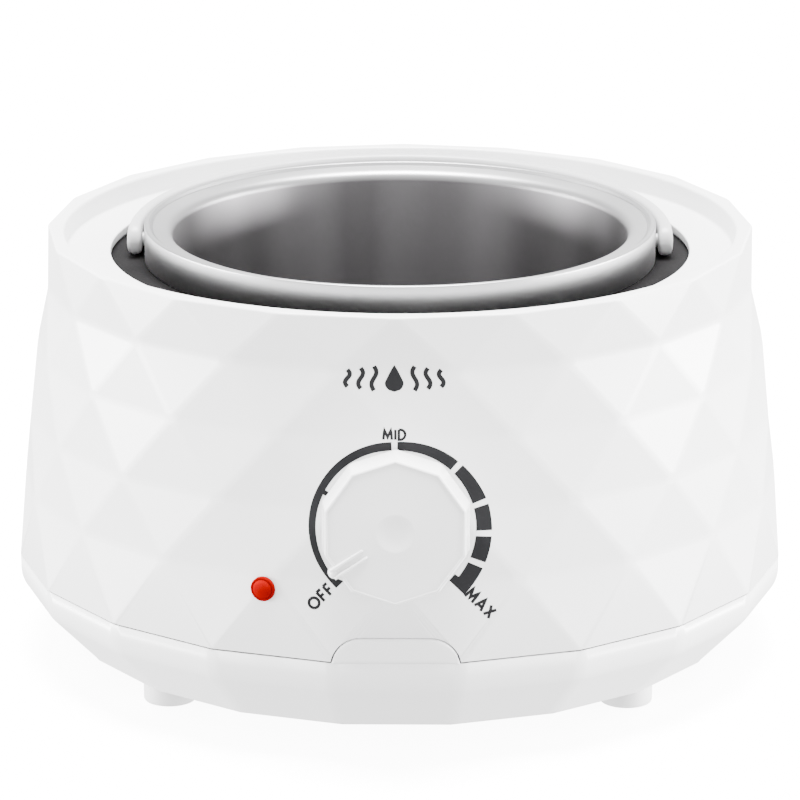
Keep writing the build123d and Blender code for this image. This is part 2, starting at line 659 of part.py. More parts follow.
KNOB_SOLID = knob_solid()
POINTER_TURN = math.radians(KNOB_POINTER_ANGLE)
POINTER_LENGTH = 8.6
POINTER_WIDTH = 2.2
POINTER_ROOT = 1.0
POINTER_MIDDLE = KNOB_EDGE_RADIUS - POINTER_LENGTH / 2
POINTER_CENTRE = (POINTER_MIDDLE * math.cos(POINTER_TURN), POINTER_MIDDLE * math.sin(POINTER_TURN))
KNOB_WALL = 1.8
KNOB_HOLLOW = 7.0
HUB_RADIUS = 5.4
HUB_LENGTH = 4.4
CLIP_GROOVE = 6.2
GROOVE_WIDTH = 1.2
GROOVE_DEPTH = 0.5
SPRING_WIDTH = 1.0
SPRING_OUT = 0.3
SPRING_IN = 0.45
SPRING_GAP = 3.0
with BuildPart() as control_knob:
    add(KNOB_SOLID)
    # Hollow behind the face, with a central hub
    with BuildSketch(KNOB_PLANE.offset(KNOB_BACK)):
        Circle(KNOB_EDGE_RADIUS * math.cos(math.pi / KNOB_SIDES) - KNOB_WALL)
    extrude(amount=KNOB_HOLLOW, mode=Mode.SUBTRACT)
    with BuildSketch(KNOB_PLANE.offset(FLAT_BACK)):
        Circle(HUB_RADIUS)
    extrude(amount=HUB_LENGTH)
    with BuildSketch(KNOB_PLANE.offset(FLAT_BACK)):
        Circle(SHAFT_RADIUS)
        with Locations((0, -SHAFT_RADIUS)):
            Rectangle(2 * SHAFT_RADIUS, FLAT_WIDTH, mode=Mode.SUBTRACT)
    extrude(amount=SHAFT_TIP - FLAT_BACK, mode=Mode.SUBTRACT)
    # Raised pointer from the face's edge inward
    with BuildSketch(KNOB_PLANE.offset(KNOB_EDGE - POINTER_ROOT)):
        with Locations(POINTER_CENTRE):
            SlotOverall(POINTER_LENGTH, POINTER_WIDTH, rotation=KNOB_POINTER_ANGLE)
    extrude(amount=KNOB_FACE - KNOB_EDGE + POINTER_ROOT)
    # Groove round the hub for the spring clip
    with BuildSketch(KNOB_PLANE.offset(CLIP_GROOVE - GROOVE_WIDTH / 2)):
        Circle(HUB_RADIUS)
        Circle(HUB_RADIUS - GROOVE_DEPTH, mode=Mode.SUBTRACT)
    extrude(amount=GROOVE_WIDTH, mode=Mode.SUBTRACT)
write(control_knob.part, "control_knob")

with BuildPart() as knob_spring_clip:
    with BuildSketch(KNOB_PLANE.offset(CLIP_GROOVE - SPRING_WIDTH / 2)):
        Circle(HUB_RADIUS + SPRING_OUT)
        Circle(HUB_RADIUS - SPRING_IN, mode=Mode.SUBTRACT)
        with Locations((0, HUB_RADIUS)):
            Rectangle(SPRING_GAP, SPRING_GAP, mode=Mode.SUBTRACT)
    extrude(amount=SPRING_WIDTH)
write(knob_spring_clip.part, "knob_spring_clip")

# Indicator: domed red lens, lamp behind it and a push-on retainer
LENS_FLANGE = 0.9
LENS_DOME = 1.5
LENS_DEPTH = 6.5
LENS_BORE_RADIUS = 1.6
LENS_BORE_DEPTH = 6.0
LAMP_RADIUS = 1.5
LAMP_BACK = -12.0
LAMP_LENGTH = 10.8
RETAINER_RADIUS = 4.4
RETAINER_BACK = -5.2
RETAINER_THICK = 0.8
DOME_RADIUS = (LENS_RADIUS**2 + LENS_DOME**2) / (2 * LENS_DOME)
with BuildPart() as indicator_lens:
    with BuildSketch(Plane.XZ):
        with BuildLine():
            barrel = Polyline(
                (0, -LENS_DEPTH),
                (LENS_STEM_RADIUS, -LENS_DEPTH),
                (LENS_STEM_RADIUS, LENS_SEAT),
                (LENS_RADIUS, LENS_SEAT),
                (LENS_RADIUS, LENS_FLANGE),
            )
            dome = RadiusArc(barrel @ 1, (0, LENS_FLANGE + LENS_DOME), -DOME_RADIUS)
            Line(dome @ 1, barrel @ 0)
        make_face()
    revolve(axis=Axis.Z)
    with BuildSketch(Plane.XY.offset(-LENS_DEPTH)):
        Circle(LENS_BORE_RADIUS)
    extrude(amount=LENS_BORE_DEPTH, mode=Mode.SUBTRACT)
LENS_PLACED = LENS_PLANE.location * indicator_lens.part
write(LENS_PLACED, "indicator_lens")

with BuildPart() as indicator_lamp:
    with BuildSketch(LENS_PLANE.offset(LAMP_BACK)):
        Circle(LAMP_RADIUS)
    extrude(amount=LAMP_LENGTH)
write(indicator_lamp.part, "indicator_lamp")

with BuildPart() as lamp_retainer:
    with BuildSketch(LENS_PLANE.offset(RETAINER_BACK)):
        Circle(RETAINER_RADIUS)
        Circle(LENS_STEM_RADIUS, mode=Mode.SUBTRACT)
    extrude(amount=RETAINER_THICK)
write(lamp_retainer.part, "lamp_retainer")

# Terminal block on the floor at the back
BLOCK_Y = 64.0
BLOCK_BOTTOM = BASE_BOTTOM + FLOOR_THICK
BLOCK_HEIGHT = 11.0
BLOCK_LENGTH = 30.0
BLOCK_WIDTH = 16.0
BLOCK_WAYS = 3
BLOCK_PITCH = 10.0
WELL_DEPTH = 6.0
SCREW_WELL_RADIUS = 2.4
BLOCK_SCREW_RADIUS = 2.2
BLOCK_SCREW_HEIGHT = 4.0
SLOT_WIDTH = 0.7
SLOT_DEPTH = 0.8
with BuildPart() as terminal_block:
    with BuildSketch(Plane.XY.offset(BLOCK_BOTTOM)):
        with Locations((0, BLOCK_Y)):
            Rectangle(BLOCK_LENGTH, BLOCK_WIDTH)
    extrude(amount=BLOCK_HEIGHT)
    with BuildSketch(Plane.XY.offset(BLOCK_BOTTOM + BLOCK_HEIGHT)):
        with Locations((0, BLOCK_Y)):
            with GridLocations(BLOCK_PITCH, 1, BLOCK_WAYS, 1):
                Circle(SCREW_WELL_RADIUS)
    extrude(amount=-WELL_DEPTH, mode=Mode.SUBTRACT)
write(terminal_block.part, "terminal_block")

with BuildPart() as terminal_screws:
    with BuildSketch(Plane.XY.offset(BLOCK_BOTTOM + BLOCK_HEIGHT - WELL_DEPTH)):
        with Locations((0, BLOCK_Y)):
            with GridLocations(BLOCK_PITCH, 1, BLOCK_WAYS, 1):
                Circle(BLOCK_SCREW_RADIUS)
    extrude(amount=BLOCK_SCREW_HEIGHT)
    with BuildSketch(Plane.XY.offset(BLOCK_BOTTOM + BLOCK_HEIGHT - WELL_DEPTH + BLOCK_SCREW_HEIGHT)):
        with Locations((0, BLOCK_Y)):
            with GridLocations(BLOCK_PITCH, 1, BLOCK_WAYS, 1):
                Rectangle(2 * BLOCK_SCREW_RADIUS, SLOT_WIDTH)
    extrude(amount=-SLOT_DEPTH, mode=Mode.SUBTRACT)
write(terminal_screws.part, "terminal_screws")

# Cord gland: its outer end reaches as far back as the knob reaches forward
KNOB_REACH = -control_knob.part.bounding_box().min.Y
GLAND_OUT = KNOB_REACH - GLAND_SEAT_Y
with BuildPart() as cord_gland:
    with BuildSketch(GLAND_PLANE.offset(-GLAND_STEM_LENGTH)):
        Circle(GLAND_STEM_RADIUS)
    extrude(amount=GLAND_STEM_LENGTH)
    with BuildSketch(GLAND_PLANE.offset(-GLAND_SEAT_DEPTH)):
        Circle(GLAND_COLLAR_RADIUS)
    extrude(amount=GLAND_SEAT_DEPTH + GLAND_COLLAR_FRONT)
    with BuildSketch(GLAND_PLANE.offset(GLAND_COLLAR_FRONT)):
        Circle(GLAND_STEM_RADIUS)
    extrude(amount=GLAND_OUT - GLAND_COLLAR_FRONT)
    chamfer(cord_gland.faces().sort_by(Axis.Y)[-1].edges(), GLAND_EDGE)
    # Wide inside the shell, and close round the cord outside it
    with BuildSketch(GLAND_PLANE.offset(-GLAND_STEM_LENGTH)):
        Circle(GLAND_INNER_BORE)
    extrude(amount=GLAND_STEM_LENGTH + GLAND_THROAT, mode=Mode.SUBTRACT)
    with BuildSketch(GLAND_PLANE.offset(GLAND_THROAT)):
        Circle(GLAND_BORE)
    extrude(amount=GLAND_OUT - GLAND_THROAT, mode=Mode.SUBTRACT)
write(cord_gland.part, "cord_gland")

with BuildPart() as gland_nut:
    with BuildSketch(GLAND_PLANE.offset(GLAND_NUT_FACE)):
        RegularPolygon(GLAND_NUT_RADIUS, 6)
        Circle(GLAND_STEM_RADIUS, mode=Mode.SUBTRACT)
    extrude(amount=-GLAND_NUT_THICK)
write(gland_nut.part, "gland_nut")

# Wax pot: hanging collar, rolled top edge, sloping flange, lip and tapered wall
COLLAR_BOTTOM = FLANGE_TOP + POT_STAND
COLLAR_INNER = COLLAR_RADIUS - COLLAR_THICK
POT_CORNER = 6.0
HOLE_REACH = 3.0
with BuildPart() as wax_pot:
    with BuildSketch(Plane.XZ) as pot_section:
        with BuildLine():
            Polyline(
                (0, POT_FLOOR),
                (POT_FLOOR_RADIUS, POT_FLOOR),
                (POT_MOUTH_RADIUS, POT_MOUTH_TOP - 1.2),
                (POT_MOUTH_RADIUS + 1.0, POT_MOUTH_TOP),
                (COLLAR_RADIUS - 1.4, COLLAR_TOP),
                (COLLAR_RADIUS - 0.4, COLLAR_TOP),
                (COLLAR_RADIUS, COLLAR_TOP - 0.5),
                (COLLAR_RADIUS, COLLAR_BOTTOM),
                (COLLAR_INNER, COLLAR_BOTTOM),
                (COLLAR_INNER, COLLAR_TOP - 1.2),
                (POT_MOUTH_RADIUS + 1.4, POT_MOUTH_TOP - 0.8),
                (POT_MOUTH_RADIUS + POT_THICK, POT_MOUTH_TOP - 1.6),
                (POT_FLOOR_RADIUS + POT_THICK, POT_FLOOR - POT_THICK),
                (0, POT_FLOOR - POT_THICK),
                close=True,
            )
        make_face()
        inner_corner = pot_section.vertices().sort_by_distance((POT_FLOOR_RADIUS, POT_FLOOR, 0))[0]
        fillet(inner_corner, POT_CORNER)
        outer_corner = pot_section.vertices().sort_by_distance(
            (POT_FLOOR_RADIUS + POT_THICK, POT_FLOOR - POT_THICK, 0)
        )[0]
        fillet(outer_corner, POT_CORNER + POT_THICK)
    revolve(axis=Axis.Z)
    with BuildSketch(Plane.YZ.offset(-COLLAR_RADIUS - HOLE_REACH / 3)):
        with Locations((0, PIVOT_Z)):
            Circle(PIN_RADIUS + RUNNING_CLEARANCE)
    extrude(amount=HOLE_REACH, mode=Mode.SUBTRACT)
    with BuildSketch(Plane.YZ.offset(COLLAR_RADIUS + HOLE_REACH / 3)):
        with Locations((0, PIVOT_Z)):
            Circle(PIN_RADIUS + RUNNING_CLEARANCE)
    extrude(amount=-HOLE_REACH, mode=Mode.SUBTRACT)
write(wax_pot.part, "wax_pot")

# Bail handle: half hoop folded back round the collar, with snap-in pins
BAIL_OUTER = BAIL_INNER + BAIL_THICK
BAIL_PLANE = Plane(
    origin=(0, 0, PIVOT_Z),
    x_dir=(1, 0, 0),
    z_dir=(0, -math.sin(math.radians(BAIL_TILT)), math.cos(math.radians(BAIL_TILT))),
)
PIN_TIP = COLLAR_INNER - 1.0
PIN_BARB = 0.4
PIN_BARB_LENGTH = 0.7
with BuildPart() as bail_handle:
    with BuildSketch(BAIL_PLANE.offset(-BAIL_WIDTH / 2)):
        Circle(BAIL_OUTER)
        Circle(BAIL_INNER, mode=Mode.SUBTRACT)
        with Locations((0, -BAIL_OUTER)):
            Rectangle(2 * BAIL_OUTER, 2 * BAIL_OUTER, mode=Mode.SUBTRACT)
    extrude(amount=BAIL_WIDTH)
    # Rounded ends, concentric with the pivot
    for side in (-1, 1):
        with BuildSketch(Plane.YZ.offset(side * BAIL_INNER)):
            with Locations((0, PIVOT_Z)):
                Circle(BAIL_WIDTH / 2)
        extrude(amount=side * BAIL_THICK)
        with BuildSketch(Plane.YZ.offset(side * BAIL_INNER)):
            with Locations((0, PIVOT_Z)):
                Circle(PIN_RADIUS)
        extrude(amount=side * (PIN_TIP - BAIL_INNER))
        with BuildSketch(Plane.YZ.offset(side * PIN_TIP)):
            with Locations((0, PIVOT_Z)):
                Circle(PIN_RADIUS + PIN_BARB)
        extrude(amount=side * PIN_BARB_LENGTH)
write(bail_handle.part, "bail_handle")
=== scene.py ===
import bmesh
import bpy
import json
import math
from mathutils import Matrix, Vector
from mathutils.bvhtree import BVHTree


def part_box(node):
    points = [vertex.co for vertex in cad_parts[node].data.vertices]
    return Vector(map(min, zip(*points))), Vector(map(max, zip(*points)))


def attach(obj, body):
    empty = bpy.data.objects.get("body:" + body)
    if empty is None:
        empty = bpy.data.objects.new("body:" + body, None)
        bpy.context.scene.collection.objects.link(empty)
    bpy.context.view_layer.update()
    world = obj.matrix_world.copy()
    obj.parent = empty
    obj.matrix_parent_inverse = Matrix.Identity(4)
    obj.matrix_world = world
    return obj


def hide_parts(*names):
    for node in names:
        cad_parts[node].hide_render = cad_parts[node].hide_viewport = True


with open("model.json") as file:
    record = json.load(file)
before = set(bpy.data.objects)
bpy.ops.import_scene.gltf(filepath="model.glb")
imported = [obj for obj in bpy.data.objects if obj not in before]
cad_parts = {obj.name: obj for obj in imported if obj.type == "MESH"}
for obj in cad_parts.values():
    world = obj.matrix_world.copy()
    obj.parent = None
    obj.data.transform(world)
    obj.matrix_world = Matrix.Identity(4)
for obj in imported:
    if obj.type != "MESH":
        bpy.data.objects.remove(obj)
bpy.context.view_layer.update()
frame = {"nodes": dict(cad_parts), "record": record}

MM = 0.001
UP = Vector((0, 0, 1))
RIGHT = Vector((1, 0, 0))
BACK = Vector((0, 1, 0))

# ---------------------------------------------------------------- sizes, from the frame

JOINTS = {joint["name"]: joint for joint in frame["record"]["behaviour"]["joints"]}


def node_middle(node):
    """Middle of a CAD node's box."""
    low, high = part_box(node)
    return (low + high) / 2


BASE_LOW, BASE_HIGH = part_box("base_shell")

SIDES = 20
PITCH = math.tau / SIDES
# distance to a flat of the twenty-sided body, as a share of the distance to its corner
FLAT_SHARE = math.cos(PITCH / 2)
RIM_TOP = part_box("upper_shell")[1].z
PARTING_TOP = 24.9 * MM
PARTING_BOTTOM = 24.5 * MM
PARTING_RADIUS = BASE_HIGH.x / FLAT_SHARE
# (height, corner radius, turned by half a pitch) from the rim to the parting line
LATTICE = [
    (RIM_TOP, 85.4 * MM, False),
    (91.7 * MM, 85.7 * MM, True),
    (76.3 * MM, 88.4 * MM, False),
    (60.0 * MM, 90.5 * MM, True),
    (43.4 * MM, 92.0 * MM, False),
    (24.7 * MM, 93.75 * MM, True),
]
SHELF_TOP = 99.2 * MM
SHELF_BOTTOM = 97.2 * MM
SHELF_RADIUS = 80.9 * MM
RIM_INNER = 81.2 * MM
WELL_RADIUS = 70.1 * MM
WALL = 2.4 * MM

KNOB_AXIS = -Vector(JOINTS["knob_turn"]["axis"])
KNOB_ORIGIN = Vector(JOINTS["knob_turn"]["pos_m"])
BAIL_PIVOT = Vector(JOINTS["bail_swing"]["pos_m"])


# ---------------------------------------------------------------- mesh helpers

def new_object(name, mesh_builder, made_of, body, replaces=()):
    """One piece from a bmesh: smooth shaded, on its body, with its material, hiding any CAD parts
    it replaces.
    """
    mesh = bpy.data.meshes.new(name)
    mesh_builder.normal_update()
    mesh_builder.to_mesh(mesh)
    mesh_builder.free()
    shade_smooth(mesh)
    piece = bpy.data.objects.new(name, mesh)
    bpy.context.scene.collection.objects.link(piece)
    mesh.materials.append(made_of)
    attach(piece, body)
    if replaces:
        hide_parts(*replaces)
    return piece


def ring(builder, points):
    """Vertices along a closed ring of points."""
    return [builder.verts.new(point) for point in points]


def bridge(builder, first, second):
    """Quads between two rings with the same number of vertices."""
    count = len(first)
    for i in range(count):
        after = (i + 1) % count
        builder.faces.new((first[i], first[after], second[after], second[i]))


def bridge_all(builder, rings):
    """Quads between each ring and the next."""
    for first, second in zip(rings, rings[1:]):
        bridge(builder, first, second)


def circle_points(radius, height, count):
    """Points of a circle round Z."""
    turns = [math.tau * i / count for i in range(count)]
    return [Vector((radius * math.cos(t), radius * math.sin(t), height)) for t in turns]


def lattice_points(height, radius, turned):
    """Corners of one ring of the faceted body, starting at the front."""
    start = -math.pi / 2 + (PITCH / 2 if turned else 0)
    turns = [start + PITCH * i for i in range(SIDES)]
    return [Vector((radius * math.cos(t), radius * math.sin(t), height)) for t in turns]


def arc(centre, radius, start, end, steps):
    """Points of an arc in a section, angles in degrees."""
    turns = [math.radians(start + (end - start) * i / steps) for i in range(steps + 1)]
    return [(centre[0] + radius * math.cos(t), centre[1] + radius * math.sin(t)) for t in turns]


CORNER_SHARE = 0.49  # most of a side that one rounded corner may use


def rounded(points, radii, steps):
    """An open section line with its corners rounded to the given radii."""
    line = [points[0]]
    for before, corner, after, radius in zip(points, points[1:], points[2:], radii):
        here = Vector(corner)
        back = Vector(before) - here
        ahead = Vector(after) - here
        turn = back.angle(ahead)
        longest = CORNER_SHARE * min(back.length, ahead.length)
        reach = min(radius / math.tan(turn / 2), longest)
        start = here + back.normalized() * reach
        end = here + ahead.normalized() * reach
        for i in range(steps + 1):
            t = i / steps
            point = start * (1 - t) ** 2 + here * 2 * t * (1 - t) + end * t**2
            line.append((point.x, point.y))
    line.append(points[-1])
    return line


TINY = 1e-6


def lathe(line, count):
    """A bmesh turned round Z from an open section line that starts and ends on the axis."""
    builder = bmesh.new()
    rings = []
    for radius, height in line:
        if radius < TINY:
            rings.append([builder.verts.new((0, 0, height))])
        else:
            rings.append(ring(builder, circle_points(radius, height, count)))
    for first, second in zip(rings, rings[1:]):
        if len(first) == 1:
            for i in range(count):
                builder.faces.new((first[0], second[(i + 1) % count], second[i]))
        elif len(second) == 1:
            for i in range(count):
                builder.faces.new((first[i], first[(i + 1) % count], second[0]))
        else:
            bridge(builder, first, second)
    bmesh.ops.recalc_face_normals(builder, faces=builder.faces)
    return builder


def closed_lathe(line, count):
    """A bmesh turned round Z from a closed section line away from the axis."""
    builder = bmesh.new()
    rings = [ring(builder, circle_points(radius, height, count)) for radius, height in line]
    for first, second in zip(rings, rings[1:] + rings[:1]):
        bridge(builder, first, second)
    bmesh.ops.recalc_face_normals(builder, faces=builder.faces)
    return builder


def shade_smooth(mesh):
    """Smooth shading on every face."""
    for polygon in mesh.polygons:
        polygon.use_smooth = True


def flat_facets(piece):
    """Keeps broad facets flat while bevelled edges shade smoothly."""
    weighted = piece.modifiers.new("flat facets", "WEIGHTED_NORMAL")
    weighted.weight = 100
    weighted.keep_sharp = True


def cut(piece, builder):
    """Cuts a closed bmesh out of a piece, and leaves the result as its mesh."""
    mesh = bpy.data.meshes.new("cutter")
    bmesh.ops.recalc_face_normals(builder, faces=builder.faces)
    builder.to_mesh(mesh)
    builder.free()
    cutter = bpy.data.objects.new("cutter", mesh)
    bpy.context.scene.collection.objects.link(cutter)
    boolean = piece.modifiers.new("cut", "BOOLEAN")
    boolean.object = cutter
    boolean.operation = "DIFFERENCE"
    boolean.solver = "MANIFOLD"
    bpy.context.view_layer.update()
    evaluated = piece.evaluated_get(bpy.context.evaluated_depsgraph_get())
    result = bpy.data.meshes.new_from_object(evaluated)
    piece.modifiers.remove(boolean)
    piece.data = result
    bpy.data.objects.remove(cutter)


def stand_along(origin, axis):
    """Matrix that puts a shape built up Z at an origin, along an axis."""
    return Matrix.Translation(origin) @ axis.to_track_quat("Z", "Y").to_matrix().to_4x4()


def turned_cylinder(origin, axis, radius, start, end, count=48):
    """A closed cylinder along an axis."""
    builder = bmesh.new()
    place = stand_along(origin, axis)
    low = ring(builder, [place @ p for p in circle_points(radius, start, count)])
    high = ring(builder, [place @ p for p in circle_points(radius, end, count)])
    bridge(builder, low, high)
    builder.faces.new(low)
    builder.faces.new(high)
    return builder


# ---------------------------------------------------------------- materials

MATERIAL_DEFAULTS = {
    "metallic": 0.0, "scale": 60.0, "tone": 0.015, "rough_spread": 0.04, "bump": 0.02,
    "bump_scale": 900.0, "stretch": (1, 1, 1), "transmission": 0.0, "specular": 0.5,
}
LEAST_ROUGHNESS = 0.02
BUMP_DEPTH = 0.4 * MM


def new_ramp(nodes, start, end, dark, light):
    """A colour ramp from dark to light between two places."""
    ramp = nodes.new("ShaderNodeValToRGB")
    for element, place, colour in zip(ramp.color_ramp.elements, (start, end), (dark, light)):
        element.position = place
        element.color = (*colour, 1)
    return ramp


def material(name, base, roughness, **inputs):
    """A principled material with a little procedural colour, roughness and bump variation."""
    made = bpy.data.materials.new(name)
    made.use_nodes = True
    nodes, links = made.node_tree.nodes, made.node_tree.links
    shader = nodes["Principled BSDF"]
    options = MATERIAL_DEFAULTS | inputs
    shader.inputs["Metallic"].default_value = options["metallic"]
    shader.inputs["Specular IOR Level"].default_value = options["specular"]
    shader.inputs["Transmission Weight"].default_value = options["transmission"]
    place = nodes.new("ShaderNodeTexCoord")
    stretch = nodes.new("ShaderNodeMapping")
    stretch.inputs["Scale"].default_value = options["stretch"]
    links.new(place.outputs["Object"], stretch.inputs["Vector"])
    broad = nodes.new("ShaderNodeTexNoise")
    broad.inputs["Scale"].default_value = options["scale"]
    broad.inputs["Detail"].default_value = 4
    links.new(stretch.outputs["Vector"], broad.inputs["Vector"])
    dark = [max(0.0, channel - options["tone"]) for channel in base]
    light = [min(1.0, channel + options["tone"]) for channel in base]
    tint = new_ramp(nodes, 0.3, 0.7, dark, light)
    links.new(broad.outputs["Fac"], tint.inputs["Fac"])
    links.new(tint.outputs["Color"], shader.inputs["Base Color"])
    gloss = nodes.new("ShaderNodeMapRange")
    gloss.inputs["To Min"].default_value = max(
        LEAST_ROUGHNESS, roughness - options["rough_spread"]
    )
    gloss.inputs["To Max"].default_value = roughness + options["rough_spread"]
    links.new(broad.outputs["Fac"], gloss.inputs["Value"])
    links.new(gloss.outputs["Result"], shader.inputs["Roughness"])
    fine = nodes.new("ShaderNodeTexNoise")
    fine.inputs["Scale"].default_value = options["bump_scale"]
    fine.inputs["Detail"].default_value = 3
    links.new(stretch.outputs["Vector"], fine.inputs["Vector"])
    relief = nodes.new("ShaderNodeBump")
    relief.inputs["Strength"].default_value = options["bump"]
    relief.inputs["Distance"].default_value = BUMP_DEPTH
    links.new(fine.outputs["Fac"], relief.inputs["Height"])
    links.new(relief.outputs["Normal"], shader.inputs["Normal"])
    return made


# streaks of painted reflection within the painted shade inside the pot
STREAK_STRETCH = (1, 1, 0.02)
STREAK_SCALE = 42
STREAK_DARK, STREAK_LIGHT = 0.72, 1.35


def paint_shade_by_depth(metal, painted_shade_colour):
    """Blends a material towards a darker, streaked colour by the mesh's depth attribute: painted
    shade, with streaks of painted reflection.
    """
    nodes, links = metal.node_tree.nodes, metal.node_tree.links
    shader = nodes["Principled BSDF"]
    tint = shader.inputs["Base Color"].links[0].from_socket
    depth = nodes.new("ShaderNodeAttribute")
    depth.attribute_name = "depth"
    streaks = nodes.new("ShaderNodeMapping")
    streaks.inputs["Scale"].default_value = STREAK_STRETCH
    place = nodes.new("ShaderNodeTexCoord")
    links.new(place.outputs["Object"], streaks.inputs["Vector"])
    noise = nodes.new("ShaderNodeTexNoise")
    noise.inputs["Scale"].default_value = STREAK_SCALE
    noise.inputs["Detail"].default_value = 1
    links.new(streaks.outputs["Vector"], noise.inputs["Vector"])
    dark = [channel * STREAK_DARK for channel in painted_shade_colour]
    light = [channel * STREAK_LIGHT for channel in painted_shade_colour]
    shades = new_ramp(nodes, 0.35, 0.65, dark, light)
    links.new(noise.outputs["Fac"], shades.inputs["Fac"])
    # blends the painted shade in where the depth attribute is high
    blend = nodes.new("ShaderNodeMixRGB")
    links.new(depth.outputs["Fac"], blend.inputs["Fac"])
    links.new(tint, blend.inputs["Color1"])
    links.new(shades.outputs["Color"], blend.inputs["Color2"])
    links.new(blend.outputs["Color"], shader.inputs["Base Color"])


WHITE = (0.82, 0.82, 0.822)
SHELL_PLASTIC = material("shell plastic", WHITE, 0.30, tone=0.008, bump=0.015, bump_scale=700)
KNOB_PLASTIC = material("knob plastic", WHITE, 0.22, tone=0.006, bump=0.01)
HANDLE_PLASTIC = material("handle plastic", (0.43, 0.43, 0.434), 0.36, tone=0.01, bump=0.02)
FOOT_RUBBER = material(
    "foot rubber", (0.72, 0.72, 0.72), 0.55, tone=0.02, bump=0.08, bump_scale=1500,
)
POT_METAL = material(
    "spun aluminium", (0.40, 0.40, 0.405), 0.40, metallic=1.0, tone=0.03, rough_spread=0.06,
    bump=0.03, bump_scale=500, stretch=(1, 1, 0.12), scale=25,
)
# painted shade, with streaks of painted reflection, darkens the pot's inside below the lip
paint_shade_by_depth(POT_METAL, (0.165, 0.16, 0.165))
PAN_COATING = material(
    "pan coating", (0.007, 0.0067, 0.007), 0.75, tone=0.003, bump=0.2, bump_scale=1800,
    rough_spread=0.08, specular=0.05,
)
GLAND_PLASTIC = material("gland plastic", (0.74, 0.74, 0.745), 0.4, tone=0.012, bump=0.03)
SILICONE = material("silicone", (0.45, 0.46, 0.47), 0.55, tone=0.02, bump=0.05)
STEEL = material("plated steel", (0.60, 0.60, 0.61), 0.3, metallic=1.0, tone=0.03, bump=0.05)
BRASS = material("brass", (0.72, 0.52, 0.22), 0.3, metallic=1.0, tone=0.03, bump=0.04)
PHENOLIC = material("phenolic", (0.05, 0.04, 0.035), 0.45, tone=0.01, bump=0.08)
NYLON = material("nylon", (0.75, 0.74, 0.70), 0.5, tone=0.02, bump=0.05)
HEATER_SHEATH = material(
    "heater sheath", (0.35, 0.31, 0.26), 0.4, metallic=1.0, tone=0.05, bump=0.08,
)
PRINT_INK = material(
    "print ink", (0.008, 0.008, 0.009), 0.6, tone=0.002, bump=0.03, specular=0.15,
)
LENS_RED = material(
    "lens red", (0.20, 0.0, 0.0003), 0.25, tone=0.0001, bump=0.01, specular=0.0,
)
LAMP_GLASS = material("lamp glass", (0.8, 0.5, 0.4), 0.1, tone=0.02, transmission=0.8)

SLOT_MATERIALS = {
    "white_plastic": SHELL_PLASTIC, "knob_plastic": KNOB_PLASTIC, "handle_plastic": HANDLE_PLASTIC,
    "foot_rubber": FOOT_RUBBER, "pot_aluminium": POT_METAL, "pan_coating": PAN_COATING,
    "silicone": SILICONE, "steel": STEEL, "brass": BRASS, "thermostat": PHENOLIC, "nylon": NYLON,
    "white_nylon": GLAND_PLASTIC, "element": HEATER_SHEATH, "fuse": STEEL, "red_lens": LENS_RED,
    "lamp_glass": LAMP_GLASS,
}


def finish_cad_nodes():
    """Gives each carried-over CAD node the detailed material of its slot."""
    for entry in frame["record"]["subparts"]:
        node = frame["nodes"][entry["node"]]
        node.data.materials.clear()
        node.data.materials.append(SLOT_MATERIALS[entry["material_slot"]])


# ---------------------------------------------------------------- shells

TAB_HALF_WIDTH = 14.67 * MM
TAB_TOP = 30.3 * MM
TAB_CORNER = 6.8 * MM


def tab_outline(grow):
    """Outline of the front tab in the front view, from left over the top to right."""
    half = TAB_HALF_WIDTH + grow
    top = TAB_TOP + grow
    corner = TAB_CORNER + grow
    left = arc((-half + corner, top - corner), corner, 180, 90, 10)
    return left + [(-x, z) for x, z in reversed(left)]


def tab_prism(grow, front, back, bottom):
    """Closed prism of the tab's outline, between two depths."""
    builder = bmesh.new()
    half = TAB_HALF_WIDTH + grow
    outline = [(-half, bottom)] + tab_outline(grow) + [(half, bottom)]
    near = [builder.verts.new((x, front, z)) for x, z in outline]
    far = [builder.verts.new((x, back, z)) for x, z in outline]
    bridge(builder, near, far)
    builder.faces.new(near)
    builder.faces.new(far)
    return builder


def lattice_bands(builder, rings):
    """Triangles between the rings of the faceted body."""
    for (upper, turned), (lower, _) in zip(rings, rings[1:]):
        shift = 1 if turned else 0
        for i in range(SIDES):
            after = (i + 1) % SIDES
            builder.faces.new((upper[i], upper[after], lower[(i + shift) % SIDES]))
            builder.faces.new((lower[i], lower[after], upper[(i + 1 - shift) % SIDES]))


def soften(builder, edges, width, segments):
    """Rounds the given edges."""
    bmesh.ops.bevel(
        builder, geom=edges, offset=width, offset_type="OFFSET", segments=segments,
        profile=0.5, affect="EDGES", clamp_overlap=True,
    )


FACET_SOFTNESS = 1.1 * MM


def faceted_skin():
    """The body's faceted outer surface with rounded facet edges, open at both ends."""
    builder = bmesh.new()
    rings = [(ring(builder, lattice_points(*row)), row[2]) for row in LATTICE]
    lattice_bands(builder, rings)
    bmesh.ops.recalc_face_normals(builder, faces=builder.faces)
    inner = [edge for edge in builder.edges if len(edge.link_faces) == 2]
    soften(builder, inner, FACET_SOFTNESS, 3)
    return builder


def trim(builder, height, keep_below):
    """Cuts a bmesh off at a height."""
    geometry = list(builder.verts) + list(builder.edges) + list(builder.faces)
    bmesh.ops.bisect_plane(
        builder, geom=geometry, plane_co=(0, 0, height), plane_no=(0, 0, 1),
        clear_outer=keep_below, clear_inner=not keep_below,
    )


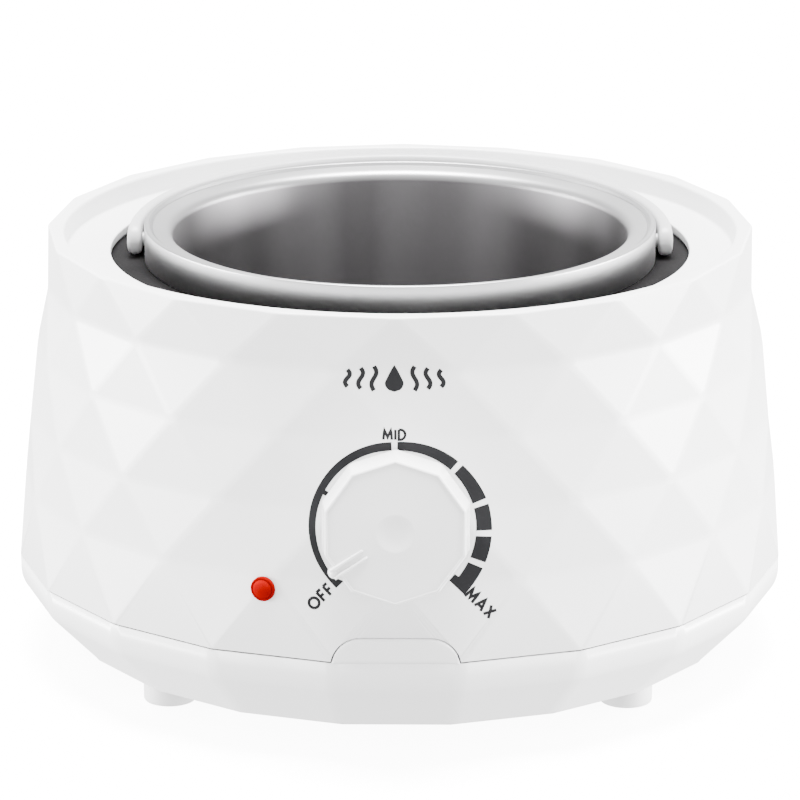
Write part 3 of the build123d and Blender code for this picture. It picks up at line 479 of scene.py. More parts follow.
RIM_OUTER = 83.6 * MM  # where the flat top of the rim starts, inside the faceted corner
INNER_WALL_TOP = 82.0 * MM
WELL_LEDGE = 8 * MM
RIM_CORNER_LIMIT = 84 * MM
RIM_CORNER_ANGLE = math.radians(50)
RIM_SOFTNESS = 0.9 * MM
SHELL_COUNT = 160
NEAR = 0.1 * MM
TAB_GAP = 0.4 * MM
SHAFT_HOLE_RADIUS = 4.55 * MM
SHAFT_HOLE_REACH = 8 * MM


def ring_edges(builder, verts):
    """Edges of a closed ring of vertices."""
    return [builder.edges.get(pair) for pair in zip(verts, verts[1:] + verts[:1])]


def upper_shell():
    """Faceted skin, rolled rim, recessed shelf, well edge and inner wall."""
    builder = faceted_skin()
    trim(builder, RIM_TOP, True)
    trim(builder, PARTING_TOP, False)
    boundary = [edge for edge in builder.edges if len(edge.link_faces) == 1]
    top_edges = [e for e in boundary if min(v.co.z for v in e.verts) > RIM_TOP - NEAR]
    low_edges = [e for e in boundary if max(v.co.z for v in e.verts) < PARTING_TOP + NEAR]
    rim = rounded(
        [(RIM_OUTER, RIM_TOP), (RIM_INNER, RIM_TOP), (SHELF_RADIUS, SHELF_TOP),
         (WELL_RADIUS, SHELF_TOP), (WELL_RADIUS, SHELF_BOTTOM),
         (WELL_RADIUS + WELL_LEDGE, SHELF_BOTTOM)],
        [0.8 * MM, 0.6 * MM, 0.5 * MM, 0.3 * MM], 4,
    )
    inner_wall = [(INNER_WALL_TOP, SHELF_BOTTOM)] + [
        (radius * FLAT_SHARE - WALL, height) for height, radius, _ in LATTICE[1:-1]
    ] + [(LATTICE[-1][1] * FLAT_SHARE - WALL, PARTING_TOP)]
    rings = [
        ring(builder, circle_points(radius, height, SHELL_COUNT))
        for radius, height in rim + inner_wall
    ]
    bridge_all(builder, rings)
    bmesh.ops.bridge_loops(builder, edges=top_edges + ring_edges(builder, rings[0]))
    bmesh.ops.bridge_loops(builder, edges=low_edges + ring_edges(builder, rings[-1]))
    bmesh.ops.recalc_face_normals(builder, faces=builder.faces)
    rim_corner = [
        e for e in builder.edges
        if len(e.link_faces) == 2
        and abs(e.calc_face_angle(0)) > RIM_CORNER_ANGLE
        and min(v.co.z for v in e.verts) > RIM_TOP - 2 * NEAR
        and min(v.co.xy.length for v in e.verts) > RIM_CORNER_LIMIT
    ]
    soften(builder, rim_corner, RIM_SOFTNESS, 4)
    piece = new_object(
        "upper_shell_skin", builder, SHELL_PLASTIC, "housing", ["upper_shell"],
    )
    cut(piece, tab_prism(TAB_GAP, -100 * MM, -85 * MM, 20 * MM))
    cut(piece, turned_cylinder(
        KNOB_ORIGIN, KNOB_AXIS, SHAFT_HOLE_RADIUS, -SHAFT_HOLE_REACH, SHAFT_HOLE_REACH,
    ))
    shade_smooth(piece.data)
    flat_facets(piece)


SCREW_PLACES = [(x * 67.5 * MM, y * 25.0 * MM) for x in (-1, 1) for y in (-1, 1)]


BAND_BOTTOM = 18.5 * MM
SHOULDER_RADIUS = 9 * MM
BOTTOM_EDGE_RADIUS = 3 * MM
BOTTOM_RADIUS = 80.4 * MM
BOTTOM_INSET = 30 * MM
BASE_SOFTNESS = 2.0 * MM
COUNTERBORE_RADIUS = 3.1 * MM


def base_shell():
    """Band, rounded shoulder and flat underside, hollow from the parting line down."""
    builder = bmesh.new()
    outer = rounded(
        [(PARTING_RADIUS, PARTING_BOTTOM), (PARTING_RADIUS, BAND_BOTTOM),
         (BOTTOM_RADIUS, BASE_LOW.z), (BOTTOM_RADIUS - BOTTOM_INSET, BASE_LOW.z)],
        [SHOULDER_RADIUS, BOTTOM_EDGE_RADIUS], 6,
    )
    rings = [ring(builder, lattice_points(height, radius, True)) for radius, height in outer]
    bridge_all(builder, rings)
    builder.faces.new(rings[-1])
    inner = [
        (PARTING_RADIUS - WALL, PARTING_BOTTOM), (PARTING_RADIUS - WALL, 19.7 * MM),
        (78.0 * MM, 7.0 * MM),
    ]
    inner_rings = [ring(builder, lattice_points(height, radius, True)) for radius, height in inner]
    bridge_all(builder, inner_rings)
    builder.faces.new(inner_rings[-1])
    bridge(builder, rings[0], inner_rings[0])
    bmesh.ops.recalc_face_normals(builder, faces=builder.faces)
    corners = [
        e for e in builder.edges
        if e.calc_length() > 0.5 * MM and abs(e.verts[0].co.z - e.verts[1].co.z) > 0.2 * MM
        and min(v.co.xy.length for v in e.verts) > BOTTOM_RADIUS - 2 * MM
        and max(v.co.xy.length for v in e.verts) > BOTTOM_RADIUS - 1 * MM
    ]
    soften(builder, corners, BASE_SOFTNESS, 4)
    piece = new_object(
        "base_shell_skin", builder, SHELL_PLASTIC, "housing", ["base_shell"],
    )
    for x, y in SCREW_PLACES:
        cut(piece, turned_cylinder(Vector((x, y, 0)), UP, COUNTERBORE_RADIUS, 3 * MM, 9 * MM))
    flat_facets(piece)


# (radius, height) of a boss with its counterbore and screw hole, in millimetres
BOSS_SECTION = [(3.1, 6.0), (4.5, 6.0), (4.5, 16.0), (1.7, 16.0), (1.7, 10.0), (3.1, 10.0)]


def screw_bosses():
    """Counterbored bosses that the base screws sit in."""
    for number, (x, y) in enumerate(SCREW_PLACES, 1):
        section = [(radius * MM, height * MM) for radius, height in BOSS_SECTION]
        builder = closed_lathe(section, 48)
        bmesh.ops.translate(builder, vec=(x, y, 0), verts=builder.verts)
        new_object(f"screw_boss_{number}", builder, SHELL_PLASTIC, "housing")


TAB_COLUMNS = 44
TAB_ROWS = 6
SKIN_BOTTOM = 24.8 * MM  # lowest place where the faceted surface is looked up


def grid_faces(builder, rows):
    """Quads between neighbouring rows of vertices."""
    for lower, upper in zip(rows, rows[1:]):
        for i in range(len(lower) - 1):
            builder.faces.new((lower[i], lower[i + 1], upper[i + 1], upper[i]))


def tab_grid(builder, skin_tree, depth):
    """Rows of vertices over the tab, at a depth behind the faceted surface."""
    grid = []
    for row in range(TAB_ROWS + 1):
        line = []
        for column in range(TAB_COLUMNS + 1):
            x = -TAB_HALF_WIDTH + 2 * TAB_HALF_WIDTH * column / TAB_COLUMNS
            z = PARTING_BOTTOM + (tab_height(x) - PARTING_BOTTOM) * (row / TAB_ROWS)
            y = skin_depth(skin_tree, x, max(z, SKIN_BOTTOM))
            line.append(builder.verts.new((x, y + depth, z)))
        grid.append(line)
    grid_faces(builder, grid)
    return grid


def front_tab(skin_tree):
    """The tab that rises from the base in front, following the faceted wall."""
    builder = bmesh.new()
    outer = tab_grid(builder, skin_tree, 0.0)
    inner = tab_grid(builder, skin_tree, WALL)
    for end in (0, -1):
        grid_faces(builder, [outer[end], inner[end]])
    for side in (0, -1):
        grid_faces(builder, [[row[side] for row in outer], [row[side] for row in inner]])
    bmesh.ops.remove_doubles(builder, verts=builder.verts, dist=0.001 * MM)
    bmesh.ops.recalc_face_normals(builder, faces=builder.faces)
    new_object("base_shell_tab", builder, SHELL_PLASTIC, "housing")


IN_FRONT = -0.2  # y of a place well in front of the object


def tab_height(x):
    """Height of the tab's outline at x."""
    flat = TAB_HALF_WIDTH - TAB_CORNER
    over = max(0.0, abs(x) - flat)
    rise = math.sqrt(max(0.0, TAB_CORNER**2 - over**2))
    return max(PARTING_BOTTOM + 0.02 * MM, TAB_TOP - TAB_CORNER + rise)


def skin_depth(tree, x, z):
    """Y of the body's front surface at a place in the front view."""
    hit, _, _, _ = tree.ray_cast(Vector((x, IN_FRONT, z)), BACK)
    return hit.y


# ---------------------------------------------------------------- pot, pan and handle

POT_LIP_RADIUS = 57.5 * MM
# painted shade inside the pot starts below this height and deepens over this fade
POT_SHADE_TOP = 103.9 * MM
POT_SHADE_FADE = 2.2 * MM
PIN_HOLE_RADIUS = 1.7 * MM


def smooth_section(points, radii):
    """A section line given in millimetres, rounded at its inner corners, in metres."""
    line = [(x * MM, z * MM) for x, z in points]
    return rounded(line, [radius * MM for radius in radii], 5)


def wax_pot():
    """Spun pot: floor, tapered wall, rounded lip, sloping flange, rolled bead and collar."""
    inside = smooth_section(
        [(0.0, 36.2), (51.6, 36.2), (55.2, 103.8), (59.8, 104.7), (60.3, 104.3), (60.75, 105.4),
         (61.9, 105.4), (61.9, 96.8)],
        [6.0, 2.6, 0.4, 0.15, 0.35, 0.5],
    )
    outside = smooth_section(
        [(61.9, 96.8), (61.1, 96.8), (61.1, 104.0), (56.0, 102.9), (52.3, 35.5), (0.0, 35.5)],
        [0.2, 0.5, 1.8, 6.6],
    )
    builder = lathe(inside + outside[1:], 200)
    piece = new_object("wax_pot_body", builder, POT_METAL, "wax_pot", ["wax_pot"])
    for side in (-1, 1):
        cut(piece, turned_cylinder(
            BAIL_PIVOT, RIGHT * side, PIN_HOLE_RADIUS, 58 * MM, 64 * MM, 32,
        ))
    # depth below the lip on the pot's inside: the mask for its painted shade
    depth = piece.data.attributes.new("depth", "FLOAT", "POINT")
    for vertex in piece.data.vertices:
        place, facing = vertex.co.xy, vertex.normal.xy
        inner = place.length < POT_LIP_RADIUS and facing.dot(place) < TINY
        below = (POT_SHADE_TOP - vertex.co.z) / POT_SHADE_FADE
        depth.data[vertex.index].value = min(1.0, max(0.0, below)) if inner else 0.0
    shade_smooth(piece.data)


def heater_pan():
    """Coated pan: flange under the shelf, rounded shoulder, tapered wall and floor."""
    inside = smooth_section(
        [(0.0, 33.0), (54.6, 33.0), (57.6, 93.6), (58.2, 96.6), (73.4, 96.6), (73.4, 95.8)],
        [4.0, 3.0, 1.6, 0.1],
    )
    outside = smooth_section(
        [(73.4, 95.8), (60.0, 95.8), (58.6, 93.6), (55.6, 32.0), (0.0, 32.0)], [2.4, 2.0, 4.6],
    )
    builder = lathe(inside + outside[1:], 180)
    new_object(
        "heater_pan_body", builder, PAN_COATING, "housing", ["heater_pan"],
    )


BAIL_HALF_WIDTH = 3.75 * MM
BAIL_HALF_THICK = 1.85 * MM
BAIL_MIDDLE = 64.25 * MM
BAIL_SQUARENESS = 0.62  # 1 is an ellipse, less is closer to a rectangle
BAIL_SECTION_COUNT = 28
BAIL_HOOP_STEPS = 72
BAIL_END_STEPS = 8
BAIL_END_START = 0.35  # first end section, in steps from the tip
PIN_POINTS = [(0.0, 60.1), (1.9, 60.1), (2.0, 60.8), (1.65, 60.9), (1.65, 63.5), (0.0, 63.5)]
PIN_RADII = [0.3, 0.1, 0.1, 0.1]
PIN_TIP_RADIUS = 1e-5


def soft_corner(value):
    """A sine or cosine pushed outwards, which squares an ellipse."""
    return math.copysign(abs(value) ** BAIL_SQUARENESS, value)


def bail_section(centre, outward, across, half_thick, half_width):
    """A soft-edged strip section: outward is the thin way, across the wide way."""
    points = []
    for i in range(BAIL_SECTION_COUNT):
        turn = math.tau * i / BAIL_SECTION_COUNT
        thin_way = outward * (soft_corner(math.cos(turn)) * half_thick)
        wide_way = across * (soft_corner(math.sin(turn)) * half_width)
        points.append(centre + thin_way + wide_way)
    return points


def bail_end(back):
    """Sections of the handle's rounded right end: centre, outward way and half sizes."""
    sections = []
    for i in range(BAIL_END_STEPS):
        reach = BAIL_HALF_WIDTH * math.cos(math.pi / 2 * (i + BAIL_END_START) / BAIL_END_STEPS)
        narrow = math.sqrt(max(0.0, 1 - (reach / BAIL_HALF_WIDTH) ** 2))
        thin = BAIL_HALF_THICK * (0.55 + 0.45 * min(1.0, narrow * 1.3))
        centre = BAIL_PIVOT + RIGHT * BAIL_MIDDLE - back * reach
        sections.append((centre, RIGHT, thin, BAIL_HALF_WIDTH * narrow))
    return sections


def bail_pin(builder, side):
    """Stepped pin that snaps into the pot's collar."""
    place = stand_along(BAIL_PIVOT, RIGHT * side)
    rings = []
    for radius, height in smooth_section(PIN_POINTS, PIN_RADII):
        points = circle_points(max(radius, PIN_TIP_RADIUS), height, 24)
        rings.append(ring(builder, [place @ p for p in points]))
    bridge_all(builder, rings)


def bail_handle():
    """Half hoop folded back round the collar, with rounded ends and snap-in pins."""
    builder = bmesh.new()
    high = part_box("bail_handle")[1]
    lean = math.asin((high.z - BAIL_HALF_WIDTH - BAIL_PIVOT.z) / high.y)
    back = Vector((0, math.cos(lean), math.sin(lean)))
    across = Vector((0, -math.sin(lean), math.cos(lean)))
    near = bail_end(back)
    hoop = []
    for i in range(BAIL_HOOP_STEPS + 1):
        turn = math.pi * i / BAIL_HOOP_STEPS
        outward = RIGHT * math.cos(turn) + back * math.sin(turn)
        centre = BAIL_PIVOT + outward * BAIL_MIDDLE
        hoop.append((centre, outward, BAIL_HALF_THICK, BAIL_HALF_WIDTH))
    far = [
        (Vector((-centre.x, centre.y, centre.z)), -outward, thin, narrow)
        for centre, outward, thin, narrow in reversed(near)
    ]
    rings = [
        ring(builder, bail_section(centre, outward, across, thin, narrow))
        for centre, outward, thin, narrow in near + hoop + far
    ]
    bridge_all(builder, rings)
    builder.faces.new(rings[0])
    builder.faces.new(rings[-1])
    for side in (-1, 1):
        bail_pin(builder, side)
    bmesh.ops.recalc_face_normals(builder, faces=builder.faces)
    new_object(
        "bail_hoop", builder, HANDLE_PLASTIC, "bail_handle", ["bail_handle"],
    )


# ---------------------------------------------------------------- knob, lens, feet and gland

# the knob's own frame: X to the right, Y up its face, Z out along its axis
KNOB_TURN = Matrix.Translation(KNOB_ORIGIN) @ Matrix((
    (1, 0, KNOB_AXIS.x, 0),
    (0, KNOB_AXIS.z, KNOB_AXIS.y, 0),
    (0, -KNOB_AXIS.y, KNOB_AXIS.z, 0),
    (0, 0, 0, 1),
))
KNOB_SIDES = 10
KNOB_FINE = 4  # crown vertices to each side
# (height, radius) of the knob's rings, in millimetres
KNOB_OUTSIDE = [(1.2, 17.7), (10.25, 16.75), (10.3, 16.1), (10.0, 15.85)]
KNOB_DISH = [(10.7, 4.6), (10.65, 4.1), (10.5, 3.4), (10.3, 2.5), (10.18, 1.5), (10.15, 0.5)]
KNOB_HOLLOW = [(1.2, 15.4), (8.2, 15.0), (8.2, 5.4), (4.2, 5.4)]
KNOB_EDGE_LIMIT = 16.3 * MM
KNOB_SOFTNESS = 0.45 * MM
POINTER_TURN = math.radians(214)


def knob_ring_points(height, radius, sides=KNOB_SIDES):
    """Corners round the knob's axis, the first one at the top."""
    turns = [math.pi / 2 + math.tau * i / sides for i in range(sides)]
    return [
        KNOB_TURN @ Vector((radius * MM * math.cos(t), radius * MM * math.sin(t), height * MM))
        for t in turns
    ]


def knob():
    """Ten-sided gem-cut knob: bevelled skirt, faceted crown, dished middle and hollow back."""
    builder = bmesh.new()
    fine_count = KNOB_SIDES * KNOB_FINE
    outside = [ring(builder, knob_ring_points(*row)) for row in KNOB_OUTSIDE]
    bridge_all(builder, outside)
    dish = [ring(builder, knob_ring_points(*row, fine_count)) for row in KNOB_DISH]
    back, step, crown = outside[0], outside[-1], dish[0]
    for i in range(KNOB_SIDES):
        fan = [crown[(i * KNOB_FINE + k) % fine_count] for k in range(KNOB_FINE, -1, -1)]
        builder.faces.new([step[i], step[(i + 1) % KNOB_SIDES]] + fan)
    bridge_all(builder, dish)
    builder.faces.new(dish[-1])
    hollow = [ring(builder, knob_ring_points(*row)) for row in KNOB_HOLLOW]
    bridge_all(builder, [back] + hollow)
    builder.faces.new(hollow[-1])
    bmesh.ops.recalc_face_normals(builder, faces=builder.faces)
    local = KNOB_TURN.inverted()
    corners = [
        e for e in builder.edges
        if min((local @ v.co).xy.length for v in e.verts) > KNOB_EDGE_LIMIT
    ]
    soften(builder, corners, KNOB_SOFTNESS, 3)
    piece = new_object(
        "knob_body", builder, KNOB_PLASTIC, "knob", ["control_knob"],
    )
    flat_facets(piece)


# the pointer, in millimetres and in the knob's own frame
POINTER_GAP = 0.95  # from the pointer's middle to the middle of each wall
POINTER_START, POINTER_LENGTH = 8.2, 8.9
POINTER_FOOT, POINTER_TOP = 9.4, 10.72
POINTER_CHAMFER = 0.12
POINTER_STEPS = 12
NUB_PLACE, NUB_RADIUS = 16.6, 1.5
NUB_FOOT, NUB_HEIGHT = 8.2, 2.4
NUB_STEPS = 6


def closed_tube(builder, rings):
    """Rings joined one after the other, with both ends closed."""
    bridge_all(builder, rings)
    builder.faces.new(rings[0])
    builder.faces.new(rings[-1])


def knob_pointer():
    """Raised pointer on the knob's face: two thin walls that meet in a nub at the skirt."""
    builder = bmesh.new()
    along = Vector((math.cos(POINTER_TURN), math.sin(POINTER_TURN), 0))
    aside = Vector((-along.y, along.x, 0))
    for side in (-1, 1):
        stations = []
        for i in range(POINTER_STEPS + 1):
            share = i / POINTER_STEPS
            rise = 0.22 * min(1.0, share * 3.0)
            drop = 0.5 * max(0.0, share - 0.86) / 0.14
            top = POINTER_TOP + rise - drop
            shoulder = top - POINTER_CHAMFER
            half = 0.24 + 0.14 * share
            centre = along * (POINTER_START + POINTER_LENGTH * share) + aside * side * POINTER_GAP
            profile = [(-1.7, POINTER_FOOT), (-1, shoulder), (-0.5, top),
                       (0.5, top), (1, shoulder), (1.7, POINTER_FOOT)]
            section = [centre + aside * half * across + UP * height for across, height in profile]
            stations.append(ring(builder, [KNOB_TURN @ (p * MM) for p in section]))
        closed_tube(builder, stations)
    nub_rings = []
    for i in range(NUB_STEPS + 1):
        share = i / NUB_STEPS
        radius = NUB_RADIUS * math.sqrt(max(0.0, 1 - (0.92 * share) ** 2))
        centre = along * NUB_PLACE + UP * (NUB_FOOT + NUB_HEIGHT * share)
        points = [(centre + p) * MM for p in circle_points(radius, 0, 24)]
        nub_rings.append(ring(builder, [KNOB_TURN @ p for p in points]))
    closed_tube(builder, nub_rings)
    bmesh.ops.recalc_face_normals(builder, faces=builder.faces)
    new_object("knob_pointer", builder, KNOB_PLASTIC, "knob")


def turned_piece(name, section, origin, axis, made_of, replaces):
    """A lathe piece of the housing, along any axis."""
    builder = lathe(section, 64)
    bmesh.ops.transform(builder, matrix=stand_along(origin, axis), verts=builder.verts)
    bmesh.ops.recalc_face_normals(builder, faces=builder.faces)
    new_object(name, builder, made_of, "housing", replaces)


LENS_TURN = math.radians(-90 - 19.2)
LENS_RADIUS = 92.0 * MM
LENS_HEIGHT = 40.7 * MM


def indicator_lens():
    """Red dome in a thin flange, on its stem."""
    axis = Vector((math.cos(LENS_TURN), math.sin(LENS_TURN), 0))
    origin = axis * LENS_RADIUS + UP * LENS_HEIGHT
    section = smooth_section(
        [(0.0, -6.4), (2.3, -6.4), (2.3, 0.1), (2.9, 0.1), (2.9, 0.95), (2.45, 1.0), (2.35, 0.8),
         (1.9, 1.75), (0.0, 2.4)],
        [0.2, 0.05, 0.05, 0.3, 0.1, 0.1, 1.4],
    )
    turned_piece(
        "indicator_dome", section, origin, axis, LENS_RED, ["indicator_lens"],
    )


def feet():
    """Four round feet with softened edges."""
    for number in range(1, 5):
        section = smooth_section(
            [(0.0, 0.0), (6.3, 0.0), (6.3, 4.9), (2.2, 4.9), (2.2, 8.4), (0.0, 8.4)],
            [0.9, 0.3, 0.1, 0.4],
        )
        middle = node_middle(f"foot_{number}")
        origin = Vector((middle.x, middle.y, 0))
        turned_piece(
            f"foot_pad_{number}", section, origin, UP, FOOT_RUBBER,
            [f"foot_{number}"],
        )


# the gland, in millimetres from its seat on the wall
GLAND_SEAT = 92.5
GLAND_RADIUS, GLAND_GROOVE, GLAND_BORE = 6.0, 5.5, 3.4
RIB_START, RIB_PITCH = 2.4, 2.1
GLAND_SOFTNESS = 0.2 * MM


def cord_gland():
    """Collar and ribbed nose round the cord's bore."""
    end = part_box("cord_gland")[1].y / MM - GLAND_SEAT
    outer = [(4.6, -10.0), (GLAND_RADIUS, -10.0), (GLAND_RADIUS, -0.9), (8.4, -0.9),
             (8.4, 1.5), (GLAND_RADIUS, 1.5)]
    ribs = []
    for i in range(3):
        start = RIB_START + i * RIB_PITCH
        ribs += [(GLAND_RADIUS, start), (GLAND_GROOVE, start + 0.2),
                 (GLAND_GROOVE, start + 0.8), (GLAND_RADIUS, start + 1.0)]
    tip = [(GLAND_RADIUS, end - 0.6), (5.2, end), (GLAND_BORE, end), (GLAND_BORE, 1.0), (4.6, 1.0)]
    section = [(radius * MM, height * MM) for radius, height in outer + ribs + tip]
    builder = closed_lathe(section, 72)
    origin = Vector((0, GLAND_SEAT * MM, node_middle("cord_gland").z))
    bmesh.ops.transform(builder, matrix=stand_along(origin, BACK), verts=builder.verts)
    bmesh.ops.recalc_face_normals(builder, faces=builder.faces)
    piece = new_object(
        "gland_nose", builder, GLAND_PLASTIC, "housing", ["cord_gland"],
    )
    bevel = piece.modifiers.new("soft edges", "BEVEL")
    bevel.width = GLAND_SOFTNESS
    bevel.segments = 2
    bevel.limit_method = "ANGLE"
    bevel.angle_limit = math.radians(40)


# ---------------------------------------------------------------- dial print

# lengths of the print are in millimetres in the front view, angles in degrees
DIAL_CENTRE = Vector((0.0, 55.95))
DIAL_INNER = 18.25
DIAL_BREAKS = [226, 91, 45.5, 16, -4, -24, -45]
DIAL_GAP = 1.9  # half of the gap between two segments
PATCH_PITCH = 1.5
PATCH_COLUMNS = 4
INK_LIFT = 0.05 * MM


def on_skin(tree, x, z):
    """The printed surface's point at a place in the front view."""
    depth = skin_depth(tree, x * MM, z * MM)
    return Vector((x * MM, depth - INK_LIFT, z * MM))


def dial_point(turn, radius):
    """A place round the dial's centre."""
    angle = math.radians(turn)
    return DIAL_CENTRE + Vector((math.cos(angle), math.sin(angle))) * radius


# (angle, thickness) of the arc from OFF to MAX
SCALE_THICKNESS = [
    (226, 1.3), (180, 1.65), (90, 1.95), (45.5, 2.6), (16, 3.35), (-4, 3.65), (-45, 3.8),
]


def scale_thickness(turn):
    """The dial arc's thickness, which grows clockwise from OFF to MAX."""
    for (first, thick), (second, thicker) in zip(SCALE_THICKNESS, SCALE_THICKNESS[1:]):
        if turn >= second:
            return thick + (thicker - thick) * (first - turn) / (first - second)
    return SCALE_THICKNESS[-1][1]


def print_patch(builder, tree, start, end, inner, outer):
    """A curved printed patch between two angles; inner and outer give its radii by angle."""
    steps = max(2, int(abs(end - start) / PATCH_PITCH))
    rows = []
    for i in range(steps + 1):
        turn = start + (end - start) * i / steps
        line = []
        for k in range(PATCH_COLUMNS + 1):
            radius = inner(turn) + (outer(turn) - inner(turn)) * k / PATCH_COLUMNS
            place = dial_point(turn, radius)
            line.append(builder.verts.new(on_skin(tree, place.x, place.y)))
        rows.append(line)
    grid_faces(builder, rows)


def arc_inner(turn):
    """Inner radius of the dial's arc, the same all the way round."""
    return DIAL_INNER


def arc_outer(turn):
    """Outer radius of the dial's arc."""
    return DIAL_INNER + scale_thickness(turn)


def dial_scale(tree):
    """Tapering arc from OFF to MAX, broken into segments, with its small inward ticks."""
    builder = bmesh.new()
    off, top = DIAL_BREAKS[0], DIAL_BREAKS[-1]
    for start, end in zip(DIAL_BREAKS, DIAL_BREAKS[1:]):
        first = start - (DIAL_GAP if start != off else 0)
        last = end + (DIAL_GAP if end != top else 0)
        print_patch(builder, tree, first, last, arc_inner, arc_outer)
    print_patch(builder, tree, 155, 151.5, lambda turn: DIAL_INNER - 0.9, arc_inner)
    print_patch(builder, tree, top + 6.5, top, lambda turn: DIAL_INNER - 1.1, arc_inner)
    print_patch(
        builder, tree, off, off - 7,
        lambda turn: DIAL_INNER - 1.1 * (turn - off + 7) / 7, arc_inner,
    )
    bmesh.ops.recalc_face_normals(builder, faces=builder.faces)
    new_object("dial_scale", builder, PRINT_INK, "housing")


def curve_points(centre, radius, start, end, steps):
    """Points of an arc in the plane."""
    return [Vector(p) for p in arc(centre, radius, start, end, steps)]


# each letter's width and lines, in heights of the letter
LETTERS = {
    "O": (0.9, [curve_points((0.45, 0.5), 0.45, 90, 450, 28)]),
    "F": (0.44, [[(0, 0), (0, 1)], [(0, 1), (0.44, 1)], [(0, 0.52), (0.4, 0.52)]]),
    "M": (0.86, [[(0, 0), (0.1, 1), (0.43, 0.22), (0.76, 1), (0.86, 0)]]),
    "I": (0.0, [[(0, 0), (0, 1)]]),
    "D": (0.62, [
        [(0, 1), (0, 0), (0.14, 0)] + curve_points((0.14, 0.5), 0.5, -90, 90, 14) + [(0, 1)],
    ]),
    "A": (0.76, [[(0, 0), (0.38, 1), (0.76, 0)], [(0.12, 0.3), (0.64, 0.3)]]),
    "X": (0.6, [[(0, 0), (0.6, 1)], [(0, 1), (0.6, 0)]]),
}


STROKE_PITCH = 0.5
SHARPEST_CORNER = 0.45  # keeps the outside of a sharp corner from running out
STROKE_WIDTH = 0.26
LETTER_GAP = 0.35


def stroke(builder, tree, points, width):
    """A printed line of even width through points in the front view."""
    fine = []
    for first, second in zip(points, points[1:]):
        steps = max(1, int((second - first).length / STROKE_PITCH))
        fine += [first + (second - first) * i / steps for i in range(steps)]
    fine.append(points[-1])
    rows = []
    for i, point in enumerate(fine):
        ahead = fine[min(i + 1, len(fine) - 1)] - point
        behind = point - fine[max(i - 1, 0)]
        forward = ahead.normalized() + behind.normalized()
        forward.normalize()
        reference = ahead if ahead.length else behind
        spread = 1 / max(SHARPEST_CORNER, forward.dot(reference.normalized()))
        aside = Vector((-forward.y, forward.x)) * width / 2 * spread
        across = [point + aside * k for k in (-1, 0, 1)]
        rows.append([builder.verts.new(on_skin(tree, place.x, place.y)) for place in across])
    grid_faces(builder, rows)


def word(builder, tree, text, centre, height, turn):
    """A generic dial word centred on a place in the front view and turned in degrees."""
    total = sum(LETTERS[letter][0] for letter in text) + LETTER_GAP * (len(text) - 1)
    rotation = Matrix.Rotation(math.radians(turn), 2)
    cursor = -total / 2
    for letter in text:
        width, lines = LETTERS[letter]
        for line in lines:
            places = [
                centre + rotation @ (Vector((cursor + x, y - 0.5)) * height) for x, y in line
            ]
            stroke(builder, tree, places, STROKE_WIDTH * height)
        cursor += width + LETTER_GAP


def dial_words(tree):
    """OFF, MID and MAX round the dial."""
    builder = bmesh.new()
    word(builder, tree, "MID", Vector((-0.4, 77.75)), 2.25, 0)
    word(builder, tree, "OFF", Vector((-17.2, 39.7)), 2.6, 45)
    word(builder, tree, "MAX", Vector((19.3, 38.3)), 2.6, -45)
    bmesh.ops.recalc_face_normals(builder, faces=builder.faces)
    new_object("dial_words", builder, PRINT_INK, "housing")


MARK_CENTRE = Vector((-0.4, 90.2))
WAVES = [(4.6, 5.4), (7.6, 4.6), (10.6, 3.8)]  # (distance from the middle, height)
WAVE_SWAY = 0.55
WAVE_WIDTH = 1.0
WAVE_STEPS = 16
DROP_HEIGHT = 6.0
DROP_HALF_WIDTH = 2.15
DROP_WIDEST = 0.34  # place of the drop's widest part, from its bottom to its tip
DROP_TIP = 0.03
DROP_STEPS = 14


def drop_half_width(share):
    """Half of the drop's width at a share of its height: round below, pointed above."""
    if share < DROP_WIDEST:
        fill = math.sqrt(max(0.0, 1 - ((share - DROP_WIDEST) / DROP_WIDEST) ** 2))
    else:
        fill = max(0.0, 1 - (share - DROP_WIDEST) / (1 - DROP_WIDEST)) ** 0.9
    return max(DROP_HALF_WIDTH * fill, DROP_TIP)


def heat_mark(tree):
    """Plain pictogram above the dial: a wax drop between rising heat waves."""
    builder = bmesh.new()
    for side in (-1, 1):
        for column, tall in WAVES:
            line = []
            for i in range(WAVE_STEPS + 1):
                share = i / WAVE_STEPS
                sway = WAVE_SWAY * math.sin(math.tau * share)
                line.append(MARK_CENTRE + Vector((side * (column + sway), (share - 0.5) * tall)))
            stroke(builder, tree, line, WAVE_WIDTH)
    rows = []
    for i in range(DROP_STEPS + 1):
        share = i / DROP_STEPS
        height = MARK_CENTRE.y + DROP_HEIGHT * (share - 0.5)
        half = drop_half_width(share)
        places = [on_skin(tree, MARK_CENTRE.x + half * k / 3, height) for k in range(-3, 4)]
        rows.append(ring(builder, places))
    grid_faces(builder, rows)
    bmesh.ops.recalc_face_normals(builder, faces=builder.faces)
    new_object("heat_mark", builder, PRINT_INK, "housing")


# ---------------------------------------------------------------- camera, light and floor

CAMERA_PLACE = (0.01146, -1.09734, 0.38344)
CAMERA_AIM = (0.0, 0.0, 0.06)
LENS_LENGTH = 210.1
SENSOR_WIDTH = 36
SIDE_AIM = (0, 0, 0.05)
SIDE_SIZE = (1.0, 0.28)
SIDE_PLACE = Vector((1.3, 0.02, 0.14))
LEFT_POWER, RIGHT_POWER = 67, 94
OVERHEAD_LEAN = -0.10
OVERHEAD_ENERGY = 22
OVERHEAD_ANGLE = math.radians(35)
WORLD_STRENGTH = 2.5
FLOOR_SIZE = 3
FLOOR_DROP = 0.2 * MM  # keeps the floor clear of the feet
FLOOR_GLOW = 9.0


def aim(thing, direction):
    """Turns a camera or a light to look along a direction."""
    thing.rotation_euler = Vector(direction).to_track_quat("-Z", "Y").to_euler()


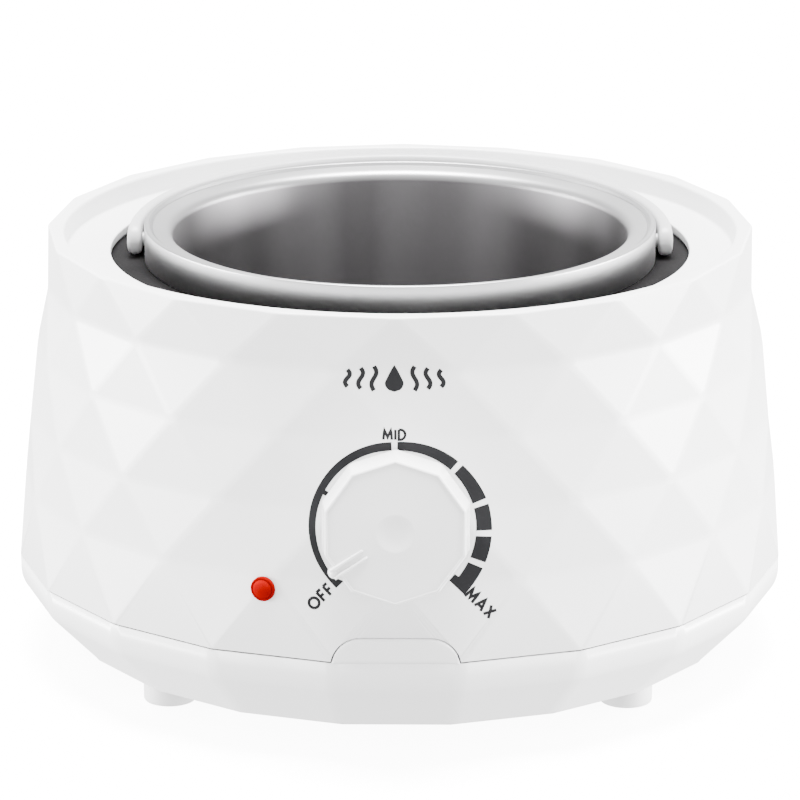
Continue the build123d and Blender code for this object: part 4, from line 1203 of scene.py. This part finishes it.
def set_camera():
    """Long lens in front, looking down a little from above the rim."""
    data = bpy.data.cameras.new("camera")
    camera = bpy.data.objects.new("camera", data)
    bpy.context.scene.collection.objects.link(camera)
    camera.location = CAMERA_PLACE
    aim(camera, Vector(CAMERA_AIM) - camera.location)
    data.lens = LENS_LENGTH
    data.sensor_width = SENSOR_WIDTH
    data.clip_start = 0.01
    data.clip_end = 20
    bpy.context.scene.camera = camera


def side_light(name, side, power):
    """A soft rectangular studio light, on the left (-1) or the right (1)."""
    data = bpy.data.lights.new(name, "AREA")
    data.shape = "RECTANGLE"
    data.size, data.size_y = SIDE_SIZE
    data.energy = power
    light = bpy.data.objects.new(name, data)
    bpy.context.scene.collection.objects.link(light)
    light.location = SIDE_PLACE * Vector((side, 1, 1))
    aim(light, Vector(SIDE_AIM) - light.location)


def overhead_sun():
    """A broad overhead light from a little behind the object."""
    data = bpy.data.lights.new("overhead", "SUN")
    data.energy = OVERHEAD_ENERGY
    data.angle = OVERHEAD_ANGLE
    light = bpy.data.objects.new("overhead", data)
    bpy.context.scene.collection.objects.link(light)
    aim(light, (0, OVERHEAD_LEAN, -1))


def set_studio():
    """Even world light, an overhead light, two side lights and a pale floor."""
    world = bpy.data.worlds.new("studio")
    bpy.context.scene.world = world
    world.use_nodes = True
    background = world.node_tree.nodes["Background"]
    background.inputs["Color"].default_value = (1, 1, 1, 1)
    background.inputs["Strength"].default_value = WORLD_STRENGTH
    overhead_sun()
    side_light("left", -1, LEFT_POWER)
    side_light("right", 1, RIGHT_POWER)
    builder = bmesh.new()
    bmesh.ops.create_grid(builder, x_segments=2, y_segments=2, size=FLOOR_SIZE)
    mesh = bpy.data.meshes.new("floor")
    builder.to_mesh(mesh)
    builder.free()
    floor = bpy.data.objects.new("floor", mesh)
    floor.location.z = -FLOOR_DROP
    floor.visible_diffuse = False
    floor.visible_glossy = False
    bpy.context.scene.collection.objects.link(floor)
    paper = material("floor", (0.95, 0.95, 0.95), 0.6, tone=0.002, bump=0.0)
    shader = paper.node_tree.nodes["Principled BSDF"]
    shader.inputs["Emission Color"].default_value = (1, 1, 1, 1)
    shader.inputs["Emission Strength"].default_value = FLOOR_GLOW
    mesh.materials.append(paper)


# ---------------------------------------------------------------- build

finish_cad_nodes()
upper_shell()
skin_builder = faceted_skin()
skin_tree = BVHTree.FromBMesh(skin_builder)
skin_builder.free()
base_shell()
front_tab(skin_tree)
screw_bosses()
wax_pot()
heater_pan()
bail_handle()
knob()
knob_pointer()
indicator_lens()
feet()
cord_gland()
dial_scale(skin_tree)
dial_words(skin_tree)
heat_mark(skin_tree)
set_camera()
set_studio()
